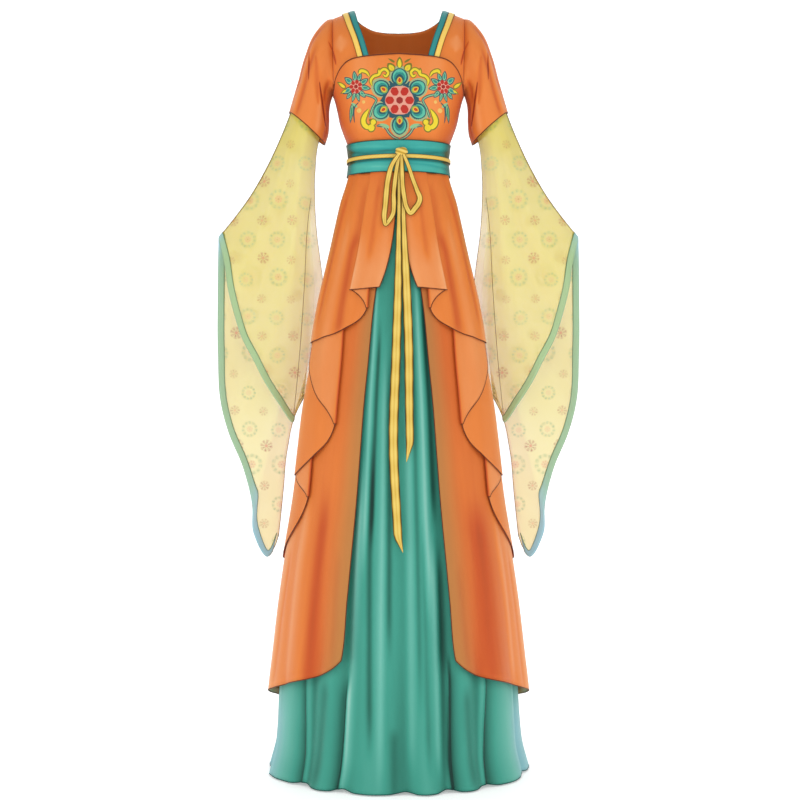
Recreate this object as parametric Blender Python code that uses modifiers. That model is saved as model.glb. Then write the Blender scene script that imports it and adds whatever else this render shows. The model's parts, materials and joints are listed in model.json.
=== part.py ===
"""Hanfu robe in its worn, hollow form: chest panel, short sleeves over hanging gauze sleeves, sash and
tied cord, a waterfall overlay, an open overskirt and a floor-length underskirt.

Metres, +Z up. The origin is midway between the shoulders, where the wearer holds the robe up, the front
faces -Y and the wearer's left is +X. A "drop" is a distance below the shoulders.
"""

import math

import bmesh
import bpy
import numpy as np

# Walls and the gaps between pieces
CLOTH_WALL = 0.0014
GAUZE_WALL = 0.0012
TRIM_WALL = 0.0012
CORD_WALL = 0.0020
SEAM = 0.0010  # between the middles of two edges that meet; their walls leave at least 0.3 mm
SEAM_DEGREES = 0.35  # the same, as a turn round the skirt
ON_YOKE = 0.0022  # from the middle of the shoulder pieces to the middle of the neck bands on them
LAPPED = 0.0042  # from the shoulder pieces to the chest panel that laps over them and their bands

# Main levels
ARMPIT_DROP = 0.150
SASH_TOP = 0.2675
SASH_FOOT = 0.3285
BODICE_FOOT = 0.2985
SKIRT_TOP = 0.3030
OVERLAY_TOP = 0.3295
CORD_DROP = 0.2985
CORD_HEIGHT = 0.0080
ON_SASH = 0.0004  # the gap between the sash and the cord round it

# Shoulder arch
ARCH_CREST = 0.0112
ARCH_FALL = 1.407  # how fast the shoulder line falls with the square of the distance from the middle
ARCH_WIDTH = 0.1335
ARCH_DEPTH = 0.099
ARMHOLE_X = 0.1275
ARMHOLE_RISE = 0.004
YOKE_FRONT_LEAN = -85.0
YOKE_BACK_LEAN = 25.3
YOKE_SEAM_DROP = 0.030  # where the back panel meets the shoulder pieces
ARMHOLE_TURN = 120.0  # how far round from the shoulder the armhole's arch goes before it passes under the arm
UNDERARM_DROP = 0.1620
BACK_INSET = 0.004  # the share of a quarter turn that the back panel stops short of its side seam
BACK_LAP_START = 0.72  # from here outward the back panel comes out to meet the chest panel
BACK_LAP_WIDTH = 0.25

# The zigzag of the overlay
LAYER_AT_WAIST = 0.0021
LAYER = 0.0031
LAYER_FULL_DROP = 0.39
FOLD_TURN = 1.2  # degrees that a sheet stops short of its fold line, where the fold rounds over
CLIMB = 10.0  # degrees over which a sheet climbs onto the fold beneath it
CLEAR = 3.5  # degrees short of that fold by which the climb is done
SIDE_SEAM = 91.0

# Gauze sleeves
GAUZE_TOP_DEPTH = 0.053  # half the sleeve's depth inside the short sleeve
GAUZE_HEM_DEPTH = 0.028
GAUZE_CROWDING = 0.35  # how much closer its rows come towards the opening
GAUZE_TUBE = 0.25  # the share of its length that keeps a plain tube's shape
BORDER_WIDTH = 0.0115
BORDER_OUT = 0.0040
GAUZE_COLUMNS = 26
GAUZE_ROWS = 10  # chosen so that each sleeve's collision pieces keep clear of the arm
BORDER_START = 10  # the column at the tip of the front layer, where the border begins
BORDER_COLUMNS = 19  # as many of them as the border covers


def table(columns, rows):
    """A short table as named columns; the first column is the one that it is read by."""
    return dict(zip(columns.split(), (np.array(column, float) for column in zip(*rows))))


def read(rows, column, at, by=None):
    """A column's value at this place, on a smooth curve through the table's rows."""
    places, values = rows[by or next(iter(rows))], rows[column]
    slopes = np.gradient(values, places)
    i = int(np.clip(np.searchsorted(places, at) - 1, 0, len(places) - 2))
    step = places[i + 1] - places[i]
    t = min(max((at - places[i]) / step, 0.0), 1.0)
    start = (1 + 2 * t) * (1 - t) ** 2 * values[i] + t * (1 - t) ** 2 * step * slopes[i]
    end = t * t * (3 - 2 * t) * values[i + 1] - t * t * (1 - t) * step * slopes[i + 1]
    return float(start + end)


def ease(t):
    """0 below 0, 1 above 1, and a smooth rise between."""
    t = min(max(t, 0.0), 1.0)
    return t * t * (3 - 2 * t)


def mix(a, b, t):
    return a + (b - a) * t


# The bodice below the armpits: half its width and depth, and how square its section is (2 is an ellipse).
# The tables' first columns are drops.
BODICE = table(
    "drop half_width half_depth squareness",
    [
        (0.1500, 0.1335, 0.0990, 4.0),
        (0.1680, 0.1258, 0.0995, 3.6),
        (0.2000, 0.1170, 0.0960, 3.0),
        (0.2260, 0.1115, 0.0915, 2.6),
        (0.2500, 0.1030, 0.0860, 2.3),
        (0.2680, 0.0960, 0.0815, 2.0),
        (0.2985, 0.0930, 0.0795, 2.0),
    ],
)
# The chest panel's top edge: reach is the share of the half width, from the middle to the side.
CHEST_TOP = table(
    "reach drop",
    [
        (0.00, 0.1015),
        (0.40, 0.1055),
        (0.57, 0.1085),
        (0.68, 0.1125),
        (0.78, 0.1220),
        (0.85, 0.1350),
        (0.91, 0.1530),
        (0.96, 0.1640),
        (1.00, 0.1700),
    ],
)
# The neckline from the front end over the shoulder to the middle of the back: the inner and outer edge
# of its two bands, each as a distance from the middle and a lean (degrees round the shoulder, front < 0).
NECK = table(
    "place inner_x inner_lean outer_x outer_lean",
    [
        (0, 0.0520, -81, 0.0755, -81),
        (1, 0.0660, -61, 0.0890, -61),
        (2, 0.0790, -41, 0.1025, -41),
        (3, 0.0860, -20, 0.1105, -20),
        (4, 0.0890, 0, 0.1130, 0),
        (5, 0.0875, 14, 0.1125, 16),
        (6, 0.0780, 26, 0.1000, 34),
        (7, 0.0550, 36, 0.0700, 47),
        (8, 0.0280, 40, 0.0360, 52),
        (9, 0.0000, 41, 0.0000, 53),
    ],
)
# The short sleeve from the armhole to its hem: the line along the top of the arm, the line under it,
# half the depth from front to back, and how far the ring has turned from the armhole's shape to an ellipse.
SHORT_SLEEVE = table(
    "along outer_x outer_drop inner_x inner_drop half_depth rounded",
    [
        (0.00, 0.1325, 0.0125, 0.1285, 0.1620, 0.0634, 0.0),
        (0.12, 0.1470, 0.0180, 0.1330, 0.1700, 0.0640, 0.5),
        (0.30, 0.1700, 0.0450, 0.1370, 0.1810, 0.0640, 0.9),
        (0.50, 0.1860, 0.0870, 0.1388, 0.1970, 0.0620, 1.0),
        (0.72, 0.2005, 0.1400, 0.1390, 0.2220, 0.0600, 1.0),
        (0.87, 0.2100, 0.1720, 0.1410, 0.2440, 0.0580, 1.0),
        (1.00, 0.2180, 0.2000, 0.1470, 0.2630, 0.0560, 1.0),
    ],
)
# The gauze sleeve: its edge along the top of the arm and its edge beside the body, from inside the short
# sleeve to the wrist and to the foot of the seam.
GAUZE_OUTER_EDGE = table(
    "along x drop",
    [
        (0.00, 0.1965, 0.142),
        (0.17, 0.2145, 0.200),
        (0.36, 0.2405, 0.264),
        (0.54, 0.2680, 0.320),
        (0.69, 0.2950, 0.366),
        (0.83, 0.3240, 0.406),
        (1.00, 0.3590, 0.449),
    ],
)
GAUZE_INNER_EDGE = table(
    "along x drop back",
    [
        (0.00, 0.1425, 0.222, 0.000),
        (0.05, 0.1570, 0.250, 0.000),
        (0.16, 0.1670, 0.320, 0.000),
        (0.26, 0.1675, 0.380, 0.004),
        (0.38, 0.1635, 0.446, 0.014),
        (0.47, 0.1570, 0.500, 0.030),
        (0.56, 0.1525, 0.548, 0.043),
        (0.70, 0.1560, 0.620, 0.050),
        (0.84, 0.1680, 0.688, 0.050),
        (1.00, 0.1860, 0.758, 0.046),
    ],
)
# The opening's edge from the wrist round to the foot of the seam, in front and behind.
GAUZE_FRONT_HEM = table(
    "across x drop",
    [
        (0.00, 0.359, 0.449),
        (0.12, 0.346, 0.498),
        (0.25, 0.337, 0.554),
        (0.36, 0.327, 0.596),
        (0.49, 0.311, 0.648),
        (0.62, 0.285, 0.698),
        (0.70, 0.265, 0.738),
        (0.79, 0.239, 0.780),
        (0.874, 0.212, 0.818),
        (0.94, 0.206, 0.790),
        (0.98, 0.196, 0.770),
        (1.00, 0.186, 0.758),
    ],
)
GAUZE_BACK_HEM = table(
    "across x drop",
    [
        (0.00, 0.359, 0.449),
        (0.07, 0.361, 0.500),
        (0.16, 0.362, 0.580),
        (0.27, 0.362, 0.680),
        (0.37, 0.359, 0.768),
        (0.47, 0.342, 0.840),
        (0.56, 0.312, 0.912),
        (0.64, 0.294, 0.985),
        (0.70, 0.292, 1.040),
        (0.76, 0.265, 1.090),
        (0.81, 0.243, 1.050),
        (0.88, 0.234, 0.958),
        (0.94, 0.225, 0.870),
        (0.98, 0.208, 0.800),
        (1.00, 0.186, 0.758),
    ],
)
# Folds that run down the gauze sleeve: across it from the top of the arm to the seam, in front and behind.
GAUZE_FOLDS = table(
    "across width front back",
    [
        (0.22, 0.07, 0.004, -0.006),
        (0.45, 0.08, -0.006, 0.007),
        (0.66, 0.07, 0.005, -0.006),
        (0.86, 0.05, -0.009, 0.005),
    ],
)
# The underskirt's form, and how far outside it the overskirt and the overlay hang.
SKIRT = table(
    "drop half_width half_depth overskirt overlay",
    [
        (0.303, 0.0840, 0.0745, 0.0040, 0.0080),
        (0.342, 0.0915, 0.0815, 0.0040, 0.0080),
        (0.390, 0.1026, 0.0900, 0.0040, 0.0080),
        (0.486, 0.1230, 0.1080, 0.0040, 0.0080),
        (0.586, 0.1450, 0.1290, 0.0040, 0.0080),
        (0.682, 0.1610, 0.1460, 0.0042, 0.0082),
        (0.778, 0.1785, 0.1630, 0.0045, 0.0085),
        (0.870, 0.1895, 0.1750, 0.0055, 0.0095),
        (0.966, 0.2000, 0.1860, 0.0070, 0.0110),
        (1.088, 0.2165, 0.2040, 0.0100, 0.0145),
        (1.174, 0.2240, 0.2120, 0.0140, 0.0190),
        (1.270, 0.2300, 0.2180, 0.0180, 0.0230),
        (1.350, 0.2350, 0.2230, 0.0210, 0.0260),
        (1.410, 0.2385, 0.2265, 0.0210, 0.0260),
        (1.460, 0.2440, 0.2320, 0.0210, 0.0260),
        (1.490, 0.2520, 0.2400, 0.0210, 0.0260),
        (1.506, 0.2565, 0.2445, 0.0210, 0.0260),
    ],
)
# Folds of the two skirts round the whole body: angles from centre front, positive to the wearer's left,
# how wide each is (degrees), and how far the cloth stands out (or in, if negative) at the hem.
UNDERSKIRT_FOLDS = table(
    "angle width out",
    [
        (-168, 7, 0.006),
        (-152, 6, -0.012),
        (-136, 7, 0.005),
        (-118, 6, -0.011),
        (-99, 6, 0.004),
        (-84, 5, -0.008),
        (-66, 7, 0.005),
        (-46, 5, -0.013),
        (-35, 5, 0.006),
        (-25, 4, -0.013),
        (-12, 5, 0.005),
        (3, 4, -0.010),
        (12, 4, 0.006),
        (22, 4, -0.013),
        (32, 5, 0.006),
        (41, 5, -0.012),
        (58, 7, 0.005),
        (74, 5, -0.009),
        (92, 7, 0.004),
        (111, 6, -0.012),
        (129, 7, 0.006),
        (146, 6, -0.011),
        (162, 6, 0.005),
        (178, 5, -0.011),
    ],
)
UNDERSKIRT_FOLD_START = 0.46
HEM_RISE = 0.35  # how much the underskirt's hem rises at an inward fold, as a share of the fold's depth
OVERSKIRT_FOLDS = table(
    "angle width out",
    [
        (-163, 8, 0.007),
        (-141, 6, -0.008),
        (-119, 8, 0.007),
        (-99, 6, -0.007),
        (-80, 7, 0.005),
        (-62, 6, -0.006),
        (-50, 6, 0.005),
        (-38, 4, -0.008),
        (38, 4, -0.008),
        (49, 6, 0.005),
        (64, 6, -0.006),
        (82, 7, 0.005),
        (101, 6, -0.007),
        (121, 8, 0.007),
        (144, 6, -0.008),
        (170, 9, 0.006),
    ],
)
OVERSKIRT_FOLD_START = 0.93
OVERLAY_BACK_FOLDS = table(
    "angle width out",
    [
        (104, 6, 0.004),
        (127, 8, 0.006),
        (150, 7, 0.005),
        (174, 9, 0.007),
        (201, 8, 0.005),
        (229, 8, 0.006),
        (254, 6, 0.004),
    ],
)
OVERLAY_BACK_FOLD_START = 0.50
# The overskirt's front edge, and its hem, which dips towards the back. Angles are from centre front.
OVERSKIRT_EDGE = table(
    "drop angle",
    [
        (0.303, 4.0),
        (0.430, 11.0),
        (0.560, 17.5),
        (0.740, 20.5),
        (0.900, 22.0),
        (1.150, 24.2),
        (1.260, 25.6),
        (1.290, 27.0),
    ],
)
OVERSKIRT_HEM = table(
    "angle drop",
    [(27, 1.284), (38, 1.297), (59, 1.320), (80, 1.345), (100, 1.368), (140, 1.395), (180, 1.400)],
)
OVERSKIRT_CORNER = 0.022  # how much the front corner of its hem is rounded up
UNDERSKIRT_HEM = 1.506
# The overlay is one sheet on each side, which zigzags from its front edge to the side seam. Each row is a
# fold line: the front edge, then folds that turn under and folds that turn back, and the side seam. Angles
# are from centre front at the waist and at the hem; drop is where the fold line meets the hem; bend shapes
# the fold line, which turns late above 1 and early below 0, and sweep the hem from this fold to the next.
OVERLAY_FOLDS = [
    # waist, hem, drop, bend, sweep
    (2.0, 14.0, 0.557, 2.5, 1.0),
    (33.0, 37.0, 0.561, 1.0, 1.0),
    (24.0, 22.0, 0.597, 1.0, 2.3),
    (70.0, 80.0, 0.661, 0.9, 1.25),
    (56.0, 38.0, 0.820, -2.0, 1.8),
    (82.0, 77.0, 0.922, 1.0, 1.0),
    (73.0, 55.0, 0.961, -1.5, 1.5),
    (SIDE_SEAM, SIDE_SEAM, 1.088, 1.0, 1.0),
]
OVERLAY_FOLDS = [dict(zip("waist hem drop bend sweep".split(), row)) for row in OVERLAY_FOLDS]
SHEET_COLUMNS = (5, 2, 11, 6, 8, 3, 5)  # columns of faces in each sheet between two folds
OVERLAY_BACK_HEM = 1.125
# The cord's bow: each strand's path, from the knot. "out" is how far it hangs in front of the skirt's form.
LEFT_LOOP = table(
    "along x drop out width",
    [
        (0.00, 0.0110, 0.2995, 0.0180, 0.0042),
        (0.16, 0.0215, 0.3290, 0.0182, 0.0076),
        (0.36, 0.0370, 0.3650, 0.0184, 0.0076),
        (0.48, 0.0440, 0.3840, 0.0180, 0.0074),
        (0.56, 0.0385, 0.4030, 0.0170, 0.0070),
        (0.66, 0.0215, 0.4180, 0.0160, 0.0070),
        (0.74, 0.0160, 0.4000, 0.0148, 0.0074),
        (0.86, 0.0100, 0.3560, 0.0146, 0.0076),
        (1.00, 0.0060, 0.3000, 0.0146, 0.0042),
    ],
)
RIGHT_LOOP = table(
    "along x drop out width",
    [
        (0.00, -0.0020, 0.2995, 0.0180, 0.0042),
        (0.12, -0.0165, 0.3300, 0.0182, 0.0076),
        (0.26, -0.0232, 0.3700, 0.0184, 0.0076),
        (0.40, -0.0262, 0.4060, 0.0184, 0.0074),
        (0.47, -0.0276, 0.4250, 0.0180, 0.0058),
        (0.52, -0.0238, 0.4370, 0.0168, 0.0048),
        (0.57, -0.0165, 0.4265, 0.0156, 0.0056),
        (0.64, -0.0100, 0.4080, 0.0148, 0.0070),
        (0.76, -0.0088, 0.3740, 0.0146, 0.0074),
        (0.90, -0.0045, 0.3330, 0.0146, 0.0076),
        (1.00, 0.0000, 0.3000, 0.0146, 0.0042),
    ],
)
LEFT_TAIL = table(
    "drop x width",
    [
        (0.3000, 0.0090, 0.0065),
        (0.4200, 0.0110, 0.0080),
        (0.5480, 0.0155, 0.0150),
        (0.6790, 0.0200, 0.0170),
        (0.7740, 0.0205, 0.0160),
        (0.8730, 0.0222, 0.0150),
    ],
)
RIGHT_TAIL = table(
    "drop x width",
    [
        (0.3000, 0.0010, 0.0065),
        (0.4200, -0.0010, 0.0080),
        (0.5480, -0.0015, 0.0160),
        (0.6790, -0.0046, 0.0180),
        (0.8680, -0.0092, 0.0180),
        (1.0000, -0.0026, 0.0170),
        (1.0460, 0.0002, 0.0160),
    ],
)
LEFT_TAIL_SLANT = -0.018  # how much lower the outer corner of the cut end is than its middle
RIGHT_TAIL_SLANT = 0.014
TAIL_CUT = 0.12  # the length over which the rows turn to the slanting cut
TAIL_OUT_TOP = 0.0115
TAIL_OUT_FOOT = 0.0090
BELOW_SASH = 0.340
KNOT_CENTRE = (0.006, -0.0965, -0.2905)
KNOT_HALF_SIZE = (0.0125, 0.0058, 0.0078)

ORANGE = ("orange_silk", (0.80, 0.23, 0.05), 0.55)
TEAL = ("teal_silk", (0.07, 0.37, 0.28), 0.50)
SASH_TEAL = ("sash_teal_silk", (0.05, 0.42, 0.39), 0.45)
YELLOW = ("yellow_cord", (0.83, 0.62, 0.09), 0.50)
GAUZE = ("yellow_gauze", (0.86, 0.74, 0.33), 0.70)
BORDER = ("green_border", (0.33, 0.55, 0.33), 0.60)


def material(finish):
    name, colour, roughness = finish
    made = bpy.data.materials.get(name)
    if made is None:
        made = bpy.data.materials.new(name)
        made.use_nodes = True
        shader = made.node_tree.nodes["Principled BSDF"]
        shader.inputs["Base Color"].default_value = (*colour, 1.0)
        shader.inputs["Roughness"].default_value = roughness
        shader.inputs["Metallic"].default_value = 0.0
    return made


def add_object(name, bm, finish):
    mesh = bpy.data.meshes.new(name)
    bm.to_mesh(mesh)
    bm.free()
    mesh.materials.append(material(finish))
    made = bpy.data.objects.new(name, mesh)
    bpy.data.collections["hanfu_robe"].objects.link(made)
    return made


def panel(name, surface, columns, rows, wall, finish, closed=False):
    """A piece of cloth: a grid laid over surface(u, v), with its wall half to each side."""
    bm = bmesh.new()
    bmesh.ops.create_grid(bm, x_segments=columns, y_segments=rows, size=0.5)
    for vertex in bm.verts:
        vertex.co = surface(vertex.co.x + 0.5, vertex.co.y + 0.5)
    if closed:
        bmesh.ops.remove_doubles(bm, verts=bm.verts, dist=1e-6)
    made = add_object(name, bm, finish)
    made.data.shade_smooth()
    solid = made.modifiers.new("wall", "SOLIDIFY")
    solid.thickness = wall
    solid.offset = 0.0
    solid.use_quality_normals = True
    return made


def moved_out(surface, u, v, distance, step=0.01):
    """A point of a surface that closes on itself across u, moved along its normal."""
    across = np.subtract(surface((u + step) % 1, v), surface((u - step) % 1, v))
    along = np.subtract(surface(u, min(v + step, 1)), surface(u, max(v - step, 0)))
    normal = np.cross(across, along)
    return tuple(np.array(surface(u, v)) + distance * normal / np.linalg.norm(normal))


def mirrored(surface, side):
    """The surface as it is for the wearer's left (side 1), or its mirror image for the right (side -1)."""

    def placed(u, v):
        x, y, z = surface(u, v)
        return side * x, y, z

    return placed


# ---------------------------------------------------------------- bodice


def shoulder_line(x):
    return ARCH_CREST - ARCH_FALL * x * x


def arch(x, lean, out=0.0):
    """The shoulder form at this distance from the middle: lean 0 on top, -90 in front, 90 behind."""
    a = math.radians(lean)
    depth = ARCH_DEPTH * (1 - (abs(x) / ARCH_WIDTH) ** 4) ** 0.25
    rise = ARMPIT_DROP + shoulder_line(x)
    return x, (depth + out) * math.sin(a), -ARMPIT_DROP + (rise + out) * math.cos(a)


def armhole_x(lean):
    return ARMHOLE_X + ARMHOLE_RISE * math.cos(math.radians(lean))


def torso(turn, drop, out=0.0):
    """The bodice's form: turn 0 at centre front, 1 at the wearer's left side, 2 at centre back."""
    side, turn = (1, turn) if turn <= 2 else (-1, 4 - turn)
    side, turn = (side, turn) if turn >= 0 else (-side, -turn)
    level = max(drop, ARMPIT_DROP)
    square = read(BODICE, "squareness", level)
    facing, share = (-1, turn) if turn <= 1 else (1, 2 - turn)
    a = math.radians(90 * share ** (square / 2))
    x = (read(BODICE, "half_width", level) + out) * math.sin(a) ** (2 / square)
    y = (read(BODICE, "half_depth", level) + out) * abs(math.cos(a)) ** (2 / square)
    if drop < ARMPIT_DROP:
        rise = (ARMPIT_DROP - drop) / (ARMPIT_DROP + shoulder_line(x))
        y *= math.sqrt(max(1 - rise * rise, 0.0))
    return side * x, facing * y, -drop


def chest_panel(u, v):
    turn = 2 * u - 1
    reach = math.sin(math.radians(90 * turn * turn)) ** 0.5
    return torso(turn, mix(read(CHEST_TOP, "drop", reach), BODICE_FOOT, v), LAPPED)


def back_edge(drop):
    """How far round the back panel reaches, as a share of the way from centre back to the side."""
    lean = math.degrees(math.acos(min(max((ARMPIT_DROP - drop) / ARMPIT_DROP, 0.0), 1.0)))
    armhole = math.asin((armhole_x(lean) / ARCH_WIDTH) ** 2) / math.radians(90)
    return mix(armhole ** 0.5, 1.0, ease((drop - ARMPIT_DROP + 0.004) / 0.018)) - BACK_INSET


def back_bodice(u, v):
    share = 2 * u - 1
    x = torso(share * back_edge(YOKE_SEAM_DROP), ARMPIT_DROP)[0]
    neck_x, neck_lean = NECK["inner_x"][:5:-1], NECK["inner_lean"][:5:-1]
    lean = float(np.interp(abs(x), neck_x, neck_lean))
    drop = mix(-arch(x, lean)[2], BODICE_FOOT, v)
    lap = LAPPED * ease((abs(share) - BACK_LAP_START) / BACK_LAP_WIDTH) * ease((drop - ARMPIT_DROP) / 0.02)
    return torso(2 + share * back_edge(drop), drop, lap)


def yoke(u, v):
    lean = mix(YOKE_FRONT_LEAN, YOKE_BACK_LEAN, v)
    inner = read(NECK, "inner_x", lean, by="inner_lean")
    return arch(mix(inner, armhole_x(lean), u), lean)


def neck_strip(f_inner, f_outer):
    """A band along the neckline, from the wearer's left front end round the back to the right."""

    def surface(u, v):
        place = 2 * NECK["place"][-1] * min(u, 1 - u)
        f = mix(f_inner, f_outer, v)
        x = mix(read(NECK, "inner_x", place), read(NECK, "outer_x", place), f)
        lean = mix(read(NECK, "inner_lean", place), read(NECK, "outer_lean", place), f)
        x, y, z = arch(x, lean, ON_YOKE)
        return (x if u <= 0.5 else -x), y, z

    return surface


def armhole_ring(turn):
    """The armhole as a closed ring: turn 0 on the shoulder, 90 in front, 180 under the arm."""
    back = -1 if turn <= 180 else 1
    turn = min(turn, 360 - turn)
    if turn <= ARMHOLE_TURN:
        lean = 90 * turn / ARMHOLE_TURN
        x, y, z = arch(armhole_x(lean), lean)
        return x + SEAM, back * y, z
    under = math.radians(90 * (180 - turn) / (180 - ARMHOLE_TURN))
    x, y, z = arch(ARMHOLE_X, 90)
    return x + SEAM, back * y * math.sin(under), z - (UNDERARM_DROP - ARMPIT_DROP) * math.cos(under)


def short_sleeve(u, v):
    turn = 360 * u
    a = math.radians(turn)
    outer = (read(SHORT_SLEEVE, "outer_x", v), read(SHORT_SLEEVE, "outer_drop", v))
    inner = (read(SHORT_SLEEVE, "inner_x", v), read(SHORT_SLEEVE, "inner_drop", v))
    x = mix(inner[0], outer[0], (1 + math.cos(a)) / 2)
    z = -mix(inner[1], outer[1], (1 + math.cos(a)) / 2)
    y = -read(SHORT_SLEEVE, "half_depth", v) * math.sin(a)
    rounded = read(SHORT_SLEEVE, "rounded", v)
    start = armhole_ring(turn)
    along = (outer[0] + inner[0] - SHORT_SLEEVE["outer_x"][0] - SHORT_SLEEVE["inner_x"][0]) / 2
    shift = mix(along, 0, rounded)
    return mix(start[0] + shift, x, rounded), mix(start[1], y, rounded), mix(start[2], z, rounded)


def gauze_edge(rows, along):
    return np.array([read(rows, "x", along), -read(rows, "drop", along)])


def gauze_sleeve(u, v):
    """The hanging sleeve: u runs from the top of the arm down the front layer to the seam and back."""
    v += GAUZE_CROWDING * v * (1 - v)
    a = 2 * math.pi * u
    across = (1 - math.cos(a)) / 2
    front = u <= 0.5
    hem_rows = GAUZE_FRONT_HEM if front else GAUZE_BACK_HEM
    top, seam = gauze_edge(GAUZE_OUTER_EDGE, v), gauze_edge(GAUZE_INNER_EDGE, v)
    hem = gauze_edge(hem_rows, across) - mix(gauze_edge(hem_rows, 0), gauze_edge(hem_rows, 1), across)
    x, z = mix(top, seam, across) + v * ease(v / GAUZE_TUBE) * hem
    depth = mix(GAUZE_TOP_DEPTH, GAUZE_HEM_DEPTH, ease(v))
    column = "front" if front else "back"
    fold = sum(
        out * math.exp(-(((across - place) / width) ** 2))
        for place, width, out in zip(GAUZE_FOLDS["across"], GAUZE_FOLDS["width"], GAUZE_FOLDS[column])
    )
    y = depth * abs(math.sin(a)) + fold * ease(v / 0.5)
    behind_skirt = read(GAUZE_INNER_EDGE, "back", v) * across**4
    return float(x), behind_skirt + (-y if front else y), float(z)


def gauze_border(u, v):
    """A strip on the outside of the sleeve's opening, from the front layer's tip by the wrist to the tail's."""
    u = (BORDER_START - u * BORDER_COLUMNS) / GAUZE_COLUMNS % 1
    step = 0.01
    hem = np.array(gauze_sleeve(u, 1))
    up = (np.array(gauze_sleeve(u, 1 - step)) - hem) / step
    round_hem = np.subtract(gauze_sleeve((u + step) % 1, 1), gauze_sleeve((u - step) % 1, 1))
    reach = np.linalg.norm(np.cross(up, round_hem)) / np.linalg.norm(round_hem)
    return moved_out(gauze_sleeve, u, 1 - v * min(BORDER_WIDTH / reach, 0.08), BORDER_OUT)


# ---------------------------------------------------------------- skirts


def skirt(angle, drop, out=0.0):
    """The skirts' form: the angle is from centre front, positive to the wearer's left."""
    a = math.radians(angle)
    x = (read(SKIRT, "half_width", drop) + out) * math.sin(a)
    return x, -(read(SKIRT, "half_depth", drop) + out) * math.cos(a), -drop


def folds(rows, angle, drop, start, end):
    """How far these folds move the cloth out here: none above start, in full at end."""
    around = (angle + 180) % 360 - 180
    total = 0.0
    for place, width, out in zip(rows["angle"], rows["width"], rows["out"]):
        away = (around - place + 180) % 360 - 180
        total += out * math.exp(-((away / width) ** 2))
    return total * min(max((drop - start) / (end - start), 0.0), 1.0) ** 1.3


def underskirt(first, last):
    def surface(u, v):
        angle = mix(first, last, u)
        drop = mix(SKIRT_TOP, UNDERSKIRT_HEM, v ** 0.92)
        out = folds(UNDERSKIRT_FOLDS, angle, drop, UNDERSKIRT_FOLD_START, UNDERSKIRT_HEM)
        drop += HEM_RISE * min(out, 0.0) * ease((drop - 1.3) / 0.2)
        return skirt(angle, drop, out)

    return surface


def overskirt(first, last):
    """Between two angles; a first of None starts at the front edge."""

    def surface(u, v):
        hem_angle = mix(OVERSKIRT_EDGE["angle"][-1] if first is None else first, last, u)
        hem = read(OVERSKIRT_HEM, "drop", min(abs(hem_angle), 360 - abs(hem_angle)))
        hem -= OVERSKIRT_CORNER * (1 - u) ** 14 if first is None else 0.0
        drop = mix(SKIRT_TOP, hem, v)
        edge = read(OVERSKIRT_EDGE, "angle", drop) if first is None else first
        angle = mix(edge, last, u)
        out = folds(OVERSKIRT_FOLDS, angle, drop, OVERSKIRT_FOLD_START, hem)
        return skirt(angle, drop, read(SKIRT, "overskirt", drop) + out)

    return surface


def fold_angle(fold, drop):
    """Where this fold line runs at this drop."""
    down = min(max((drop - OVERLAY_TOP) / (fold["drop"] - OVERLAY_TOP), 0.0), 1.0)
    bend = fold["bend"]
    return mix(fold["waist"], fold["hem"], down ** bend if bend > 0 else 1 - (1 - down) ** -bend)


def overlay_level(sheet, angle, drop):
    """How many layers of the overlay lie under this sheet here. Even sheets face out, odd ones are turned."""
    turned = sheet % 2
    level = float(turned)
    for inner in range(sheet + turned + 2, len(OVERLAY_FOLDS) - 1, 2):
        step_end = fold_angle(OVERLAY_FOLDS[inner], drop) - CLEAR
        level += 2 * ease((angle - step_end + CLIMB) / CLIMB)
    return level


def overlay_stations():
    """The places across the overlay, as (sheet, share of the way across it), with None on a fold's tip."""
    places = []
    for sheet, columns in enumerate(SHEET_COLUMNS):
        places += [(sheet, i / columns) for i in range(columns + 1)]
        if sheet < len(SHEET_COLUMNS) - 1:
            places.append((sheet, None))
    return places


STATIONS = overlay_stations()


def overlay_point(sheet, share, v):
    start, end = OVERLAY_FOLDS[sheet], OVERLAY_FOLDS[sheet + 1]
    hem = mix(start["drop"], end["drop"], 1 - (1 - share) ** start["sweep"])
    drop = mix(OVERLAY_TOP, hem, v)
    turned = sheet % 2
    from_angle = fold_angle(start, drop) + (0 if sheet == 0 else -FOLD_TURN if turned else FOLD_TURN)
    last = sheet == len(SHEET_COLUMNS) - 1
    to_angle = fold_angle(end, drop) + (0 if last else FOLD_TURN if turned else -FOLD_TURN)
    angle = mix(from_angle, to_angle, share)
    layer = mix(LAYER_AT_WAIST, LAYER, ease((drop - OVERLAY_TOP) / (LAYER_FULL_DROP - OVERLAY_TOP)))
    out = read(SKIRT, "overlay", drop) + layer * overlay_level(sheet, angle, drop)
    return angle, drop, out


def overlay(u, v):
    """One side of the overlay, from its front edge (u 0) to the side seam (u 1)."""
    sheet, share = STATIONS[round(u * (len(STATIONS) - 1))]
    if share is not None:
        return skirt(*overlay_point(sheet, share, v))
    before, after = overlay_point(sheet, 1.0, v), overlay_point(sheet + 1, 0.0, v)
    tip = fold_angle(OVERLAY_FOLDS[sheet + 1], before[1])
    return skirt(tip, before[1], (before[2] + after[2]) / 2)


def overlay_back(u, v):
    angle = mix(SIDE_SEAM + SEAM_DEGREES, 360 - SIDE_SEAM - SEAM_DEGREES, u)
    hem = mix(OVERLAY_FOLDS[-1]["drop"], OVERLAY_BACK_HEM, math.sin(math.pi * u))
    drop = mix(OVERLAY_TOP, hem, v)
    out = read(SKIRT, "overlay", drop)
    for place, width, stand in zip(*OVERLAY_BACK_FOLDS.values()):
        share = min(max((drop - OVERLAY_BACK_FOLD_START) / (hem - OVERLAY_BACK_FOLD_START), 0.0), 1.0)
        out += stand * math.exp(-(((angle - place) / width) ** 2)) * share
    return skirt(angle, drop, out)


# ---------------------------------------------------------------- sash, cord and bow

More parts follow.
